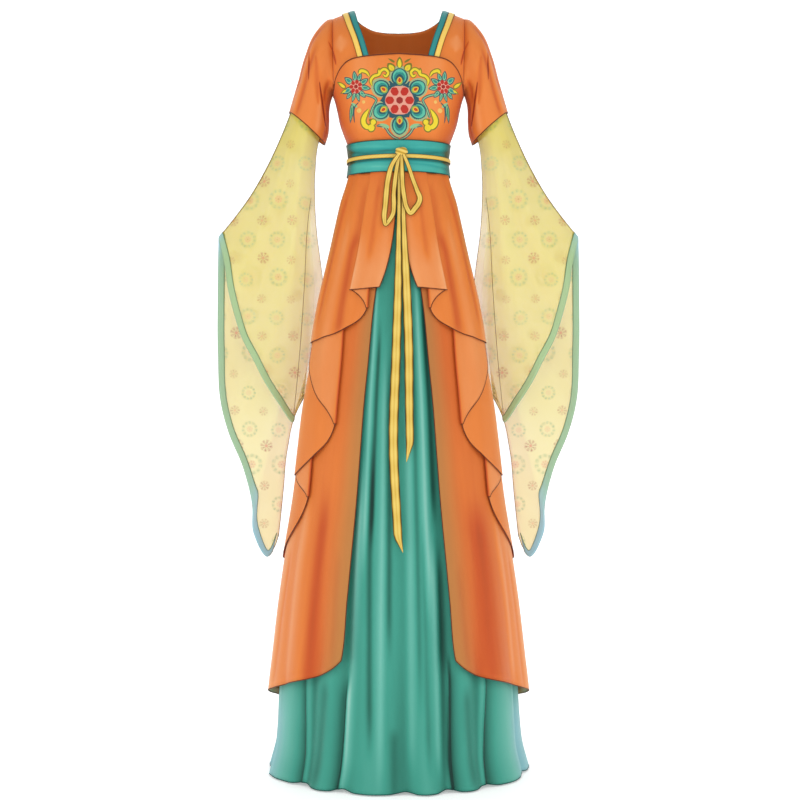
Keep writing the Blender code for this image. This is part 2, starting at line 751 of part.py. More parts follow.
SASH = table(
    "drop half_width half_depth",
    [(SASH_TOP, 0.1040, 0.0895), (0.2980, 0.1008, 0.0870), (SASH_FOOT, 0.1032, 0.0888)],
)


def waist_ring(top, foot, out):
    def surface(u, v):
        a = 2 * math.pi * u
        drop = mix(top, foot, v)
        x = (read(SASH, "half_width", drop) + out) * math.sin(a)
        return x, -(read(SASH, "half_depth", drop) + out) * math.cos(a), -drop

    return surface


def before_skirt(x, drop, out):
    """A point that hangs in front of the skirts, or of the sash where it is higher."""
    level = max(drop, BELOW_SASH)
    width, depth = read(SKIRT, "half_width", level), read(SKIRT, "half_depth", level)
    return x, -(depth + out) * math.sqrt(1 - (x / (width + out)) ** 2), -drop


def bow_loop(rows):
    """A flat strand that leaves the knot, turns at its tip and comes back behind itself."""

    def surface(u, v):
        step = 0.02
        x, drop = read(rows, "x", u), read(rows, "drop", u)
        ahead, behind = min(u + step, 1), max(u - step, 0)
        run = read(rows, "x", ahead) - read(rows, "x", behind)
        fall = read(rows, "drop", ahead) - read(rows, "drop", behind)
        aside = read(rows, "width", u) * (v - 0.5) / math.hypot(run, fall)
        return before_skirt(x + aside * fall, drop - aside * run, read(rows, "out", u))

    return surface


def tail(rows, slant):
    def surface(u, v):
        places = rows["drop"]
        drop = mix(places[0], places[-1], v)
        aside = (u - 0.5) * read(rows, "width", drop)
        out = mix(TAIL_OUT_TOP, TAIL_OUT_FOOT, ease((drop - 0.5) / 0.15))
        cut = slant * 2 * (u - 0.5) * ease((drop - places[-1] + TAIL_CUT) / TAIL_CUT)
        return before_skirt(read(rows, "x", drop) + aside, drop + cut, out)

    return surface


def knot():
    bm = bmesh.new()
    bmesh.ops.create_uvsphere(bm, u_segments=12, v_segments=7, radius=1.0)
    bmesh.ops.scale(bm, vec=KNOT_HALF_SIZE, verts=bm.verts)
    bmesh.ops.translate(bm, vec=KNOT_CENTRE, verts=bm.verts)
    add_object("knot", bm, YELLOW).data.shade_smooth()


def build():
    for old in list(bpy.data.objects):
        bpy.data.objects.remove(old)
    robe = bpy.data.collections.new("hanfu_robe")
    bpy.context.scene.collection.children.link(robe)

    panel("chest_panel", chest_panel, 18, 6, CLOTH_WALL, ORANGE)
    panel("back_bodice", back_bodice, 16, 9, CLOTH_WALL, ORANGE)
    panel("neck_band_inner", neck_strip(0.02, 0.47), 36, 1, TRIM_WALL, SASH_TEAL)
    panel("neck_band_outer", neck_strip(0.53, 0.98), 36, 1, TRIM_WALL, YELLOW)
    for side, name in ((1, "left"), (-1, "right")):
        panel(f"{name}_yoke", mirrored(yoke, side), 4, 12, CLOTH_WALL, ORANGE)
        short, gauze = mirrored(short_sleeve, side), mirrored(gauze_sleeve, side)
        panel(f"{name}_short_sleeve", short, 20, 6, CLOTH_WALL, ORANGE, closed=True)
        panel(f"{name}_gauze_sleeve", gauze, GAUZE_COLUMNS, GAUZE_ROWS, GAUZE_WALL, GAUZE, closed=True)
        panel(f"{name}_gauze_border", mirrored(gauze_border, side), BORDER_COLUMNS, 1, TRIM_WALL, BORDER)

    front_seam, back_seam = 90 - SEAM_DEGREES, 90 + SEAM_DEGREES
    panel("underskirt_front", underskirt(-front_seam, front_seam), 30, 9, CLOTH_WALL, TEAL)
    panel("underskirt_back", underskirt(back_seam, 360 - back_seam), 26, 9, CLOTH_WALL, TEAL)
    for side, name in ((1, "left"), (-1, "right")):
        front, draped = mirrored(overskirt(None, front_seam), side), mirrored(overlay, side)
        panel(f"overskirt_{name}_front", front, 12, 9, CLOTH_WALL, ORANGE)
        panel(f"overlay_{name}_front", draped, len(STATIONS) - 1, 10, CLOTH_WALL, ORANGE)
    panel("overskirt_back", overskirt(back_seam, 360 - back_seam), 22, 9, CLOTH_WALL, ORANGE)
    panel("overlay_back", overlay_back, 18, 7, CLOTH_WALL, ORANGE)

    panel("sash", waist_ring(SASH_TOP, SASH_FOOT, 0.0), 36, 2, CLOTH_WALL, SASH_TEAL, closed=True)
    cord_top, cord_foot = CORD_DROP - CORD_HEIGHT / 2, CORD_DROP + CORD_HEIGHT / 2
    cord = waist_ring(cord_top, cord_foot, CLOTH_WALL / 2 + ON_SASH + CORD_WALL / 2)
    panel("waist_cord", cord, 36, 1, CORD_WALL, YELLOW, closed=True)
    knot()
    panel("left_bow_loop", bow_loop(LEFT_LOOP), 22, 1, TRIM_WALL, YELLOW)
    panel("right_bow_loop", bow_loop(RIGHT_LOOP), 22, 1, TRIM_WALL, YELLOW)
    panel("left_tail", tail(LEFT_TAIL, LEFT_TAIL_SLANT), 1, 12, TRIM_WALL, YELLOW)
    panel("right_tail", tail(RIGHT_TAIL, RIGHT_TAIL_SLANT), 1, 14, TRIM_WALL, YELLOW)


build()
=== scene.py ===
import json
import math
import bmesh
import bpy
import numpy as np
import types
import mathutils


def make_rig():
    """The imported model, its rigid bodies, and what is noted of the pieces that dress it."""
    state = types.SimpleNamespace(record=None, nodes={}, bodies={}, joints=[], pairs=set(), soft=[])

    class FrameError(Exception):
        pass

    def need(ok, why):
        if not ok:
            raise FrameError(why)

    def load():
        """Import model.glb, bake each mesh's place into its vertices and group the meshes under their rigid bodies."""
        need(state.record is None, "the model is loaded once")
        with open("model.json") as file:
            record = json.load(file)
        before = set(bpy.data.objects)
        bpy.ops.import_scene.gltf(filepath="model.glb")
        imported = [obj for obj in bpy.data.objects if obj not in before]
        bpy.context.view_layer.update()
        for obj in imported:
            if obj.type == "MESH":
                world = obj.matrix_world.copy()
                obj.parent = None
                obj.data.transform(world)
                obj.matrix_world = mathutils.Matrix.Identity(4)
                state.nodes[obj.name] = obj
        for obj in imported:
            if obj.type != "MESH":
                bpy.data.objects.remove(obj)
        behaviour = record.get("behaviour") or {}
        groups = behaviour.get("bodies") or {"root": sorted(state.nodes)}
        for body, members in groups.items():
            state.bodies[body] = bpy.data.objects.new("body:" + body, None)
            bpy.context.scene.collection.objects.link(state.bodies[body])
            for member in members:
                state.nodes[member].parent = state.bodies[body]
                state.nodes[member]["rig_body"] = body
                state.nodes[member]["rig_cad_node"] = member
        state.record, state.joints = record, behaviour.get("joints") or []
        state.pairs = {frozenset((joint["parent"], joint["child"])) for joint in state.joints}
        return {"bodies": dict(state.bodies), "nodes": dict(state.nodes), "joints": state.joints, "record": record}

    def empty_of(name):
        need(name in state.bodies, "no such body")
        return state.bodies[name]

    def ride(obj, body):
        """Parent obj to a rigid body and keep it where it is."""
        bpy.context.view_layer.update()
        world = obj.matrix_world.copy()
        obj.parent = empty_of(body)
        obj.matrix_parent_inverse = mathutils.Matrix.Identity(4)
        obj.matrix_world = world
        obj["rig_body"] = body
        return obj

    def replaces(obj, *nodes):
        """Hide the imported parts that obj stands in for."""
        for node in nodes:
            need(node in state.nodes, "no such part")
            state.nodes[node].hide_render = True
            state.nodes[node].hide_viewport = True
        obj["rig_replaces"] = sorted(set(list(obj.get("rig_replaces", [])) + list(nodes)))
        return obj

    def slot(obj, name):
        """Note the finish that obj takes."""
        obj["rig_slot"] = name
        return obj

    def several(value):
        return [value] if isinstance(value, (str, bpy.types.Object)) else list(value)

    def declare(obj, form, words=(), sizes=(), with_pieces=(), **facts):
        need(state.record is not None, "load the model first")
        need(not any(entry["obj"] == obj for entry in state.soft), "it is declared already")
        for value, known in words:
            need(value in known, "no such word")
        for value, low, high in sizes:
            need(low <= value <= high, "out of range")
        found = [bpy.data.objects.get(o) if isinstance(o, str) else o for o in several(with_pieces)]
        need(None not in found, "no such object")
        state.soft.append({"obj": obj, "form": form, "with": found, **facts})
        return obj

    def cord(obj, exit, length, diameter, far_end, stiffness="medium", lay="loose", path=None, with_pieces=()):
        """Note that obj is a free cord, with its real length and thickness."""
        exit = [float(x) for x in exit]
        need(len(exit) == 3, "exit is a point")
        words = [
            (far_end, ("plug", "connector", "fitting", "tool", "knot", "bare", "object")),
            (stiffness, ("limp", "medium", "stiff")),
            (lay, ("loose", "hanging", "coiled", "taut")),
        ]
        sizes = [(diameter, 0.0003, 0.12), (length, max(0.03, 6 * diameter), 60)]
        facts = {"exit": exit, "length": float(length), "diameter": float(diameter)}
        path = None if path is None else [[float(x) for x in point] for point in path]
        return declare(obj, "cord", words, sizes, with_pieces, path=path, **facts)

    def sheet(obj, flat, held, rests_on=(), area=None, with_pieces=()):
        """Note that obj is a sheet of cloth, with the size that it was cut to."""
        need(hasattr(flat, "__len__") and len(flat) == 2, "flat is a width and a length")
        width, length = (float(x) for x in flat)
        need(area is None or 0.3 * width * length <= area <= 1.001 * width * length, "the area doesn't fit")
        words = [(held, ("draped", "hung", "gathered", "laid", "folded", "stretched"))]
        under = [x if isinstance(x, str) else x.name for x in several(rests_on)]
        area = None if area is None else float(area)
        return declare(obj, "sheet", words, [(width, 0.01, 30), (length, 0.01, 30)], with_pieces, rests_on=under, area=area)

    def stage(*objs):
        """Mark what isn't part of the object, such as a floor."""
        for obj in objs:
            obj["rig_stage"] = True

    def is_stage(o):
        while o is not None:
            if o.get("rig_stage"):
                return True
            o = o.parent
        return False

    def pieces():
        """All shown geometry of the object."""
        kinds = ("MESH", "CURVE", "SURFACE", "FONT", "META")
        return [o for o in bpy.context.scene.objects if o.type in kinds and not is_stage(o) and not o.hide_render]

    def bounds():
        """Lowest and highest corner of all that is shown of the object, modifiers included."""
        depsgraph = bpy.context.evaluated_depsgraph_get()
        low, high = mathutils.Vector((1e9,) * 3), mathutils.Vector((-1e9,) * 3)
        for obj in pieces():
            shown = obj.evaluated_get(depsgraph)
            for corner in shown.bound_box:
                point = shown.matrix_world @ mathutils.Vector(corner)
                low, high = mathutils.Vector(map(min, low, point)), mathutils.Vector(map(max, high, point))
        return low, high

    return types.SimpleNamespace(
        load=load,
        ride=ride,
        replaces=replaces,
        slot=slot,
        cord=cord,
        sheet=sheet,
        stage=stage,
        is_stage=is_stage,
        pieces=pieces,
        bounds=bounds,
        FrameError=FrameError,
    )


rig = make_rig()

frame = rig.load()
cad_low, cad_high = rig.bounds()

# ------------------------------------------------------------------ camera
# It stands straight in front of the robe, a little above half its height, and sees 1.6 m from side to side
# at the robe's own middle.
VIEW_WIDTH = 1.600
CAMERA_PLACE = (0.003, -3.320, -0.774)
SENSOR_MM = 36.0

camera = bpy.data.objects.new("camera", bpy.data.cameras.new("camera"))
camera.data.sensor_width = SENSOR_MM
camera.data.lens = SENSOR_MM * -CAMERA_PLACE[1] / VIEW_WIDTH
camera.location = CAMERA_PLACE
camera.rotation_euler = (math.radians(90), 0, 0)
bpy.context.scene.collection.objects.link(camera)
bpy.context.scene.camera = camera

# ------------------------------------------------------------------ cord, knot and bow
# A flat cord woven of yellow silk, its edges darkened to brown by painted shade. It goes once round the sash
# and is tied at centre front in a knot and a bow, and its two ends are cut on a slant and hang down over the skirts.
ROBE = bpy.data.collections.new("hanfu_robe")
bpy.context.scene.collection.children.link(ROBE)


def linear_colour(code):
    """A colour, from its usual hexadecimal code to the renderer's linear values."""
    parts = (int(code[i : i + 2], 16) / 255 for i in (0, 2, 4))
    return (*(p / 12.92 if p <= 0.04045 else ((p + 0.055) / 1.055) ** 2.4 for p in parts), 1.0)


def table(columns, *rows):
    """A short table as named columns; the first column is the one that it is read by."""
    return dict(zip(columns.split(), (np.array(column, float) for column in zip(*rows))))


def read(rows, columns, at):
    """The values of one or more columns at these places, on smooth curves through the table's rows."""
    places, found = rows[next(iter(rows))], []
    i = np.clip(np.searchsorted(places, at) - 1, 0, len(places) - 2)
    step = places[i + 1] - places[i]
    t = np.clip((at - places[i]) / step, 0.0, 1.0)
    for values in (rows[column] for column in columns.split()):
        slopes = np.gradient(values, places)
        start = (1 + 2 * t) * (1 - t) ** 2 * values[i] + t * (1 - t) ** 2 * step * slopes[i]
        found.append(start + t * t * (3 - 2 * t) * values[i + 1] - t * t * (1 - t) * step * slopes[i + 1])
    return found if len(found) > 1 else found[0]


def ease(t):
    """0 below 0, 1 above 1, and a smooth rise between."""
    t = np.clip(t, 0.0, 1.0)
    return t * t * (3 - 2 * t)


def bell(t):
    """1 at 0, and a smooth fall to both sides of it."""
    return np.exp(-(t**2))


def mix(a, b, t):
    return a + (b - a) * t


def signed(angle):
    """An angle in degrees, brought between -180 and 180."""
    return (angle + 180) % 360 - 180


def unit(directions):
    return directions / np.maximum(np.linalg.norm(directions, axis=-1, keepdims=True), 1e-9)


def on_line(rows, shares):
    """A line's points, or a row of widths, at these shares of the way along it."""
    places = np.linspace(0, 1, len(rows))
    return np.stack([np.interp(shares, places, column) for column in np.atleast_2d(rows.T)], axis=-1)


def points_of(x, y, z):
    return np.stack(np.broadcast_arrays(x, y, z), axis=-1).astype(float)


class Socket:
    """The output of a shader node. Arithmetic on it adds Math nodes to its finish."""

    def __init__(self, finish, output):
        self.finish, self.output = finish, output

    def math(self, operation, *values):
        return self.finish.add("Math", {"operation": operation}, dict(enumerate((self, *values))))

    def __add__(self, other):
        return self.math("ADD", other)

    __radd__ = __add__

    def __sub__(self, other):
        return self.math("SUBTRACT", other)

    def __rsub__(self, other):
        return self.finish.add("Math", {"operation": "SUBTRACT"}, {0: other, 1: self})

    def __mul__(self, other):
        return self.math("MULTIPLY", other)


class Finish:
    """A material on the Principled shader. Constants go straight onto the shader's own sockets."""

    def __init__(self, name, constants):
        self.material = bpy.data.materials.new(name)
        self.material.use_nodes = True
        self.tree = self.material.node_tree
        self.shader = self.tree.nodes["Principled BSDF"]
        self.paint(constants)

    def join(self, value, socket):
        if isinstance(value, Socket):
            self.tree.links.new(value.output, socket)
        else:
            socket.default_value = value

    def paint(self, values):
        for name, value in values.items():
            self.join(value, self.shader.inputs[name])

    def add(self, kind, settings, inputs, output=0):
        """Any node: its type, its settings, the values or links of its sockets, and the output wanted. A
        colour ramp's stops are places and colour codes."""
        node = self.tree.nodes.new("ShaderNode" + kind)
        for name, value in settings.items():
            if name == "stops":
                ramp = node.color_ramp.elements
                while len(ramp) < len(value):
                    ramp.new(1.0)
                for element, (place, code) in zip(ramp, value):
                    element.position, element.color = place, linear_colour(code)
            else:
                setattr(node, name, value)
        for name, value in inputs.items():
            self.join(value, node.inputs[name])
        return Socket(self, node.outputs[output])

    def shade(self, name, output="Fac"):
        return self.add("Attribute", {"attribute_name": name}, {}, output)

    def lie(self):
        """The place on the flat cloth, and its two parts."""
        place = self.add("UVMap", {"uv_map": "cloth"}, {})
        return place, *(self.add("SeparateXYZ", {}, {0: place}, axis) for axis in "XY")

    def blend(self, share, under, over):
        return self.add("Mix", {"data_type": "RGBA"}, {0: share, 6: under, 7: over}, 2)

    def noise(self, place, scale, detail):
        stretched = self.add("VectorMath", {"operation": "MULTIPLY"}, {0: place, 1: scale})
        return self.add("TexNoise", {}, {"Vector": stretched, "Scale": 1.0, "Detail": detail})


def woven(name, stops, roughness, thread, mottle=0.10, weave=0.35, tint=None):
    """Woven silk of threads this wide. The piece's tone runs through the stops, which carry its dye and, on most
    pieces, painted shade at the low end and painted highlight at the high end; its tint blends in a second
    colour, on the orange silk an olive painted shade. Its UV, in metres, carries the threads and their slubs."""
    finish = Finish(name, {"Roughness": roughness, "Sheen Weight": 0.08, "Sheen Roughness": 0.4})
    finish.paint({"Specular IOR Level": 0.25})
    place, across, along = finish.lie()
    clouds, slubs = finish.noise(place, (38, 5, 0), 3), finish.noise(place, (140, 1600, 0), 2)
    tone = finish.shade("tone") + (clouds - 0.5) * mottle + (slubs - 0.5) * (0.6 * mottle)
    colour = finish.add("ValToRGB", {"stops": stops}, {"Fac": tone})
    if tint:
        colour = finish.blend(finish.shade("tint"), colour, linear_colour(tint))
    warp, weft = ((way * (2 * math.pi / thread)).math("SINE") for way in (across, along))
    height = warp * weft * 0.5 + slubs
    normal = finish.add("Bump", {}, {"Height": height, "Strength": weave, "Distance": thread * 0.25})
    finish.paint({"Base Color": colour, "Normal": normal})
    return finish


def sewing_thread(name, dark, light):
    return woven(name, [(0.0, dark), (1.0, light)], 0.6, 0.0006)


def add_piece(name, mesh, finish, slot, node=None):
    """Puts a finished mesh among the robe's pieces, in place of this node of the frame."""
    piece = bpy.data.objects.new(name, mesh)
    mesh.materials.append(finish.material)
    ROBE.objects.link(piece)
    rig.ride(piece, "root")
    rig.slot(piece, slot)
    if node:
        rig.replaces(piece, node)
    return piece


def smooth_mesh(name, bm):
    mesh = bpy.data.meshes.new(name)
    bm.to_mesh(mesh)
    bm.free()
    mesh.shade_smooth()
    return mesh


def laid_grid(name, surface, flat, across, down, closed=False, capped=False):
    """A grid laid over surface(u, v), which gives points, tone (or tone and tint) and, if it knows it, each
    point's place on the flat cloth; that place is the UV, in metres. Closed joins the edges that meet, and
    capped fills the open ends."""
    bm = bmesh.new()
    bm.loops.layers.uv.new("cloth")
    bmesh.ops.create_grid(bm, x_segments=across, y_segments=down, size=0.5, calc_uvs=True)
    mesh = smooth_mesh(name, bm)
    grid = np.empty(3 * len(mesh.vertices), np.float32)
    mesh.vertices.foreach_get("co", grid)
    u, v = (grid.reshape(-1, 3)[:, :2].T + 0.5).astype(float)
    points, tone, *lie = surface(u, v)
    mesh.vertices.foreach_set("co", points.astype(np.float32).ravel())
    for attribute, value in zip(("tone", "tint"), tone if isinstance(tone, tuple) else (tone, 0.0)):
        shades = mesh.attributes.new(attribute, "FLOAT", "POINT").data
        shades.foreach_set("value", np.broadcast_to(value, u.shape).astype(np.float32))
    corners = np.empty(len(mesh.loops), np.int32)
    mesh.loops.foreach_get("vertex_index", corners)
    lie = lie[0] if lie else np.stack([u, v], axis=-1) * flat
    mesh.uv_layers["cloth"].data.foreach_set("uv", lie[corners].astype(np.float32).ravel())
    if closed:
        bm = bmesh.new()
        bm.from_mesh(mesh)
        bmesh.ops.remove_doubles(bm, verts=bm.verts, dist=1e-6)
        if capped:
            bmesh.ops.holes_fill(bm, edges=[edge for edge in bm.edges if edge.is_boundary], sides=0)
            bmesh.ops.recalc_face_normals(bm, faces=bm.faces)
        bm.to_mesh(mesh)
        bm.free()
    return mesh


# The cord's stops: its yellow dye in the middle, painted brown shade at the low end, painted highlight at the high
# end.
CORD_DYE_AND_SHADE = [(0.0, "4A3410"), (0.25, "9A7820"), (0.5, "D9AF42"), (1.0, "F2D573")]
cord_silk = woven("yellow_cord_silk", CORD_DYE_AND_SHADE, 0.55, 0.0009, mottle=0.16, weave=0.6)

# The form that the skirts hang in, and how far outside it the overskirt and the overlay hang. Drops, here
# and below, are distances under the shoulders.
SKIRT = table(
    "drop half_width half_depth overskirt overlay",
    (0.303, 0.084, 0.0745, 0.004, 0.008), (0.342, 0.0915, 0.0815, 0.004, 0.008),
    (0.39, 0.1026, 0.09, 0.004, 0.008), (0.486, 0.123, 0.108, 0.004, 0.008),
    (0.586, 0.145, 0.129, 0.004, 0.008), (0.682, 0.161, 0.146, 0.0042, 0.0082),
    (0.778, 0.1785, 0.163, 0.0045, 0.0085), (0.87, 0.1895, 0.175, 0.0055, 0.0095),
    (0.966, 0.2, 0.186, 0.007, 0.011), (1.088, 0.2165, 0.204, 0.01, 0.0145),
    (1.174, 0.224, 0.212, 0.014, 0.019), (1.27, 0.23, 0.218, 0.018, 0.023),
    (1.35, 0.235, 0.223, 0.021, 0.026), (1.41, 0.2385, 0.2265, 0.021, 0.026),
    (1.46, 0.244, 0.232, 0.021, 0.026), (1.49, 0.252, 0.24, 0.021, 0.026),
    (1.506, 0.2565, 0.2445, 0.021, 0.026),
)
BELOW_SASH = 0.340
CORD_THICK = 0.0018


def before_skirt(x, drop, out):
    """Points that hang in front of the skirts, or of the sash where they are higher."""
    level = np.maximum(drop, BELOW_SASH)
    width, depth = read(SKIRT, "half_width half_depth", level)
    return points_of(x, -(depth + out) * np.sqrt(1 - (x / (width + out)) ** 2), -drop)


def strand(name, line, width, turns, stretch, node):
    """A flat cord along a line of points: its rings stand across the line and lie flat on the skirts."""
    def surface(u, v):
        centre, run = on_line(line, v), unit(on_line(np.gradient(line, axis=0), v))
        aside = unit(np.cross(points_of(centre[:, 0] * 4.0, -1.0, 0.15), run))
        outward = np.cross(run, aside)
        a = 2 * math.pi * u
        half = on_line(width, v)[:, 0] / 2
        groove = 1 - 0.45 * bell(np.cos(a) / 0.18) * (1 + 0.3 * np.sin(turns * v))
        puff = CORD_THICK / 2 * np.sign(np.sin(a)) * np.abs(np.sin(a)) ** 0.7 * groove
        points = centre + aside * (half * np.cos(a))[:, None] + outward * puff[:, None]
        # Painted shade darkens the strand's edges to brown and its middle groove; the tone also rises and falls along
        # its length.
        tone = 0.84 - 0.84 * ease((np.abs(np.cos(a)) - 0.56) / 0.3) - 0.24 * bell(np.cos(a) / 0.12)
        return points, tone + 0.08 * np.sin(2.3 * turns * v)

    mesh = laid_grid(name, surface, stretch, 24, 4 * len(line), closed=True, capped=True)
    return add_piece(name, mesh, cord_silk, "yellow_cord", node)


# Each end: where it runs and its width. Its foot is cut on a slant: the side that the point is on, and how
# long the cut is.
LEFT_TAIL = table(
    "drop x width",
    (0.296, 0.0075, 0.0065), (0.34, 0.0088, 0.0074), (0.42, 0.0099, 0.009), (0.548, 0.0153, 0.0164),
    (0.679, 0.0198, 0.0176), (0.774, 0.0205, 0.0164), (0.891, 0.0224, 0.0152),
)
RIGHT_TAIL = table(
    "drop x width",
    (0.296, 0.003, 0.0065), (0.34, 0.0016, 0.0066), (0.42, 0.0008, 0.008), (0.548, -0.0006, 0.015),
    (0.679, -0.0042, 0.018), (0.868, -0.0092, 0.0182), (1.0, -0.0026, 0.0172), (1.06, 0.0008, 0.0162),
)
TAIL_OUT_TOP = 0.0115
TAIL_OUT_FOOT = 0.0090
TAILS = (
    ("left_end", LEFT_TAIL, -1, 0.036, 31.0, 0.604, "left_tail"),
    ("right_end", RIGHT_TAIL, 1, 0.030, 44.0, 0.775, "right_tail"),
)
for name, rows, point_side, cut, turns, length, node in TAILS:
    drops = np.linspace(rows["drop"][0], rows["drop"][-1], 90)
    out = mix(TAIL_OUT_TOP, TAIL_OUT_FOOT, ease((drops - 0.5) / 0.15))
    narrowed = 0.94 * np.clip((drops - drops[-1] + cut) / cut, 0, 1)
    width = read(rows, "width", drops)
    line = before_skirt(read(rows, "x", drops) + point_side * narrowed * width / 2, drops, out)
    end = strand(name, line, width * (1 - narrowed), turns, (0.03, length), node)
    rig.cord(
        end, exit=line[0], length=length, diameter=0.016, far_end="bare",
        stiffness="limp", lay="hanging", path=line,
    )

# Each loop, from the knot out, round its far end and back.
LEFT_LOOP = table(
    "along x drop out width",
    (0.0, 0.009, 0.295, 0.018, 0.0059), (0.11, 0.0196, 0.3203, 0.0182, 0.0084),
    (0.21, 0.0279, 0.3452, 0.0184, 0.0091), (0.31, 0.036, 0.3672, 0.0184, 0.0104),
    (0.375, 0.0416, 0.3835, 0.0182, 0.0118), (0.41, 0.0392, 0.3925, 0.0178, 0.0121),
    (0.46, 0.0328, 0.402, 0.0172, 0.0121), (0.52, 0.0228, 0.4122, 0.0164, 0.0104),
    (0.57, 0.0158, 0.401, 0.0154, 0.0104), (0.65, 0.0115, 0.3823, 0.0148, 0.01),
    (0.735, 0.0086, 0.3616, 0.0146, 0.0096), (0.845, 0.0071, 0.334, 0.0146, 0.0089),
    (1.0, 0.006, 0.295, 0.0146, 0.0062),
)
RIGHT_LOOP = table(
    "along x drop out width",
    (0.0, 0.002, 0.295, 0.018, 0.0063), (0.1, -0.0136, 0.3203, 0.0182, 0.0103),
    (0.18, -0.0198, 0.3437, 0.0184, 0.0116), (0.28, -0.0233, 0.3713, 0.0184, 0.0118),
    (0.36, -0.0252, 0.3962, 0.0184, 0.0116), (0.45, -0.0274, 0.422, 0.018, 0.0105),
    (0.5, -0.025, 0.435, 0.017, 0.0083), (0.545, -0.0182, 0.4275, 0.016, 0.0093),
    (0.59, -0.011, 0.415, 0.0152, 0.01), (0.655, -0.0088, 0.3962, 0.0148, 0.01),
    (0.725, -0.0092, 0.3755, 0.0146, 0.0097), (0.795, -0.0074, 0.3549, 0.0146, 0.0095),
    (0.89, -0.004, 0.3273, 0.0146, 0.0091), (1.0, 0.002, 0.295, 0.0146, 0.0063),
)
LOOPS = (
    ("left_loop", LEFT_LOOP, 17.0, 0.253, "left_bow_loop"),
    ("right_loop", RIGHT_LOOP, 21.0, 0.295, "right_bow_loop"),
)
for name, rows, turns, length, node in LOOPS:
    along = np.linspace(0, 1, 90)
    line = before_skirt(*read(rows, "x drop out", along))
    loop = strand(name, line, read(rows, "width", along), turns, (0.02, length), node)
    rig.cord(
        loop, exit=line[0], length=length, diameter=0.008, far_end="object",
        stiffness="limp", lay="hanging", path=line,
    )

KNOT_CENTRE = np.array((0.006, -0.0965, -0.2905))
KNOT_HALF_SIZE = np.array((0.0122, 0.0060, 0.0078))
bm = bmesh.new()
bm.loops.layers.uv.new("cloth")
bmesh.ops.create_uvsphere(bm, u_segments=48, v_segments=28, radius=1.0, calc_uvs=True)
tones = bm.verts.layers.float.new("tone")
for vertex in bm.verts:
    x, y, z = vertex.co
    # Painted highlight on the knot's wraps and painted shade between them, where they also bulge and dip.
    wrap = math.sin(5.2 * (z + 0.55 * x) + 0.8)
    vertex[tones] = 0.66 + 0.34 * wrap
    vertex.co *= 1 + 0.07 * wrap
bmesh.ops.scale(bm, vec=KNOT_HALF_SIZE, verts=bm.verts)
bmesh.ops.translate(bm, vec=KNOT_CENTRE, verts=bm.verts)
add_piece("tied_knot", smooth_mesh("tied_knot", bm), cord_silk, "yellow_cord", "knot")

# ------------------------------------------------------------------ underskirt
# A floor-length skirt of plain teal silk, a front and a back panel sewn down both sides. It hangs from the
# waist under the sash, smooth over the hips, and falls into deep folds that lap over each other at the hem.
def skirt(angle, drop, out=0.0):
    """The skirts' form: the angle is from centre front, positive to the wearer's left."""
    a = np.radians(angle)
    width, depth = (half + out for half in read(SKIRT, "half_width half_depth", drop))
    return points_of(width * np.sin(a), -depth * np.cos(a), -drop)


def broad_folds(rows, angle, drop, start, end):
    """How far the folds of the cut move the cloth out here: none above start, in full at end."""
    total = np.zeros_like(angle)
    for place, width, out in rows:
        total += out * bell(signed(angle - place) / width)
    return total * np.clip((drop - start) / (end - start), 0, 1) ** 1.3


def creases(rows, angle, drop):
    """How far these creases move the cloth out, and how much painted highlight (below 0, painted shade) they add."""
    out, light = np.zeros_like(angle), np.zeros_like(angle)
    for at, drift, top, foot, width, depth, lap, shine in rows:
        share = (drop - top) / (foot - top)
        live = ease(share / 0.25) * ease((1.12 - share) / 0.22)
        away = signed(angle - at - drift * np.clip(share, 0, 1)) / width
        if lap:
            away *= lap
            edge = np.where(away > 0, np.exp(-np.abs(away)), bell(away / 0.22))
            # Where the cloth laps: painted highlight on the ridge, a line of painted shade under the lap and painted
            # shade on its low side.
            shade = shine * bell((away - 0.3) / 0.35) - 0.42 * bell((away + 0.12) / 0.16)
            shade -= 0.22 * np.exp(-np.abs(away + 0.3) / 0.9) * (away < -0.12)
        else:
            edge = bell(away)
            shade = shine * edge
        out += depth * edge * live
        light += shade * live
    return out, light


def thread_roll(name, line, radius, finish, slot):
    """The narrow rolled edge of a piece, whipped with darker thread, along a line of points. The radius may
    be one for each point."""
    def surface(u, v):
        run = on_line(unit(np.gradient(line, axis=0)), v)
        aside = unit(np.cross(run, (0.31, 0.87, 0.38)))
        a = 2 * math.pi * u
        round_it = aside * np.cos(a)[:, None] + np.cross(run, aside) * np.sin(a)[:, None]
        return on_line(line, v) + on_line(np.broadcast_to(radius, len(line)), v) * round_it, 0.5

    flat = (0.004, float(np.linalg.norm(np.diff(line, axis=0), axis=1).sum()))
    mesh = laid_grid(name, surface, flat, 6, len(line) - 1, closed=True, capped=True)
    return add_piece(name, mesh, finish, slot)


# The edges of a piece, as the places u and v that they run through.
EDGES = {
    "top": lambda t: (t, 0 * t),
    "hem": lambda t: (t, 0 * t + 1),
    "front": lambda t: (0 * t, t),
}


SILK_WALL = 0.0006
ROLL_RADIUS = 0.0009
LINE_POINTS = 121


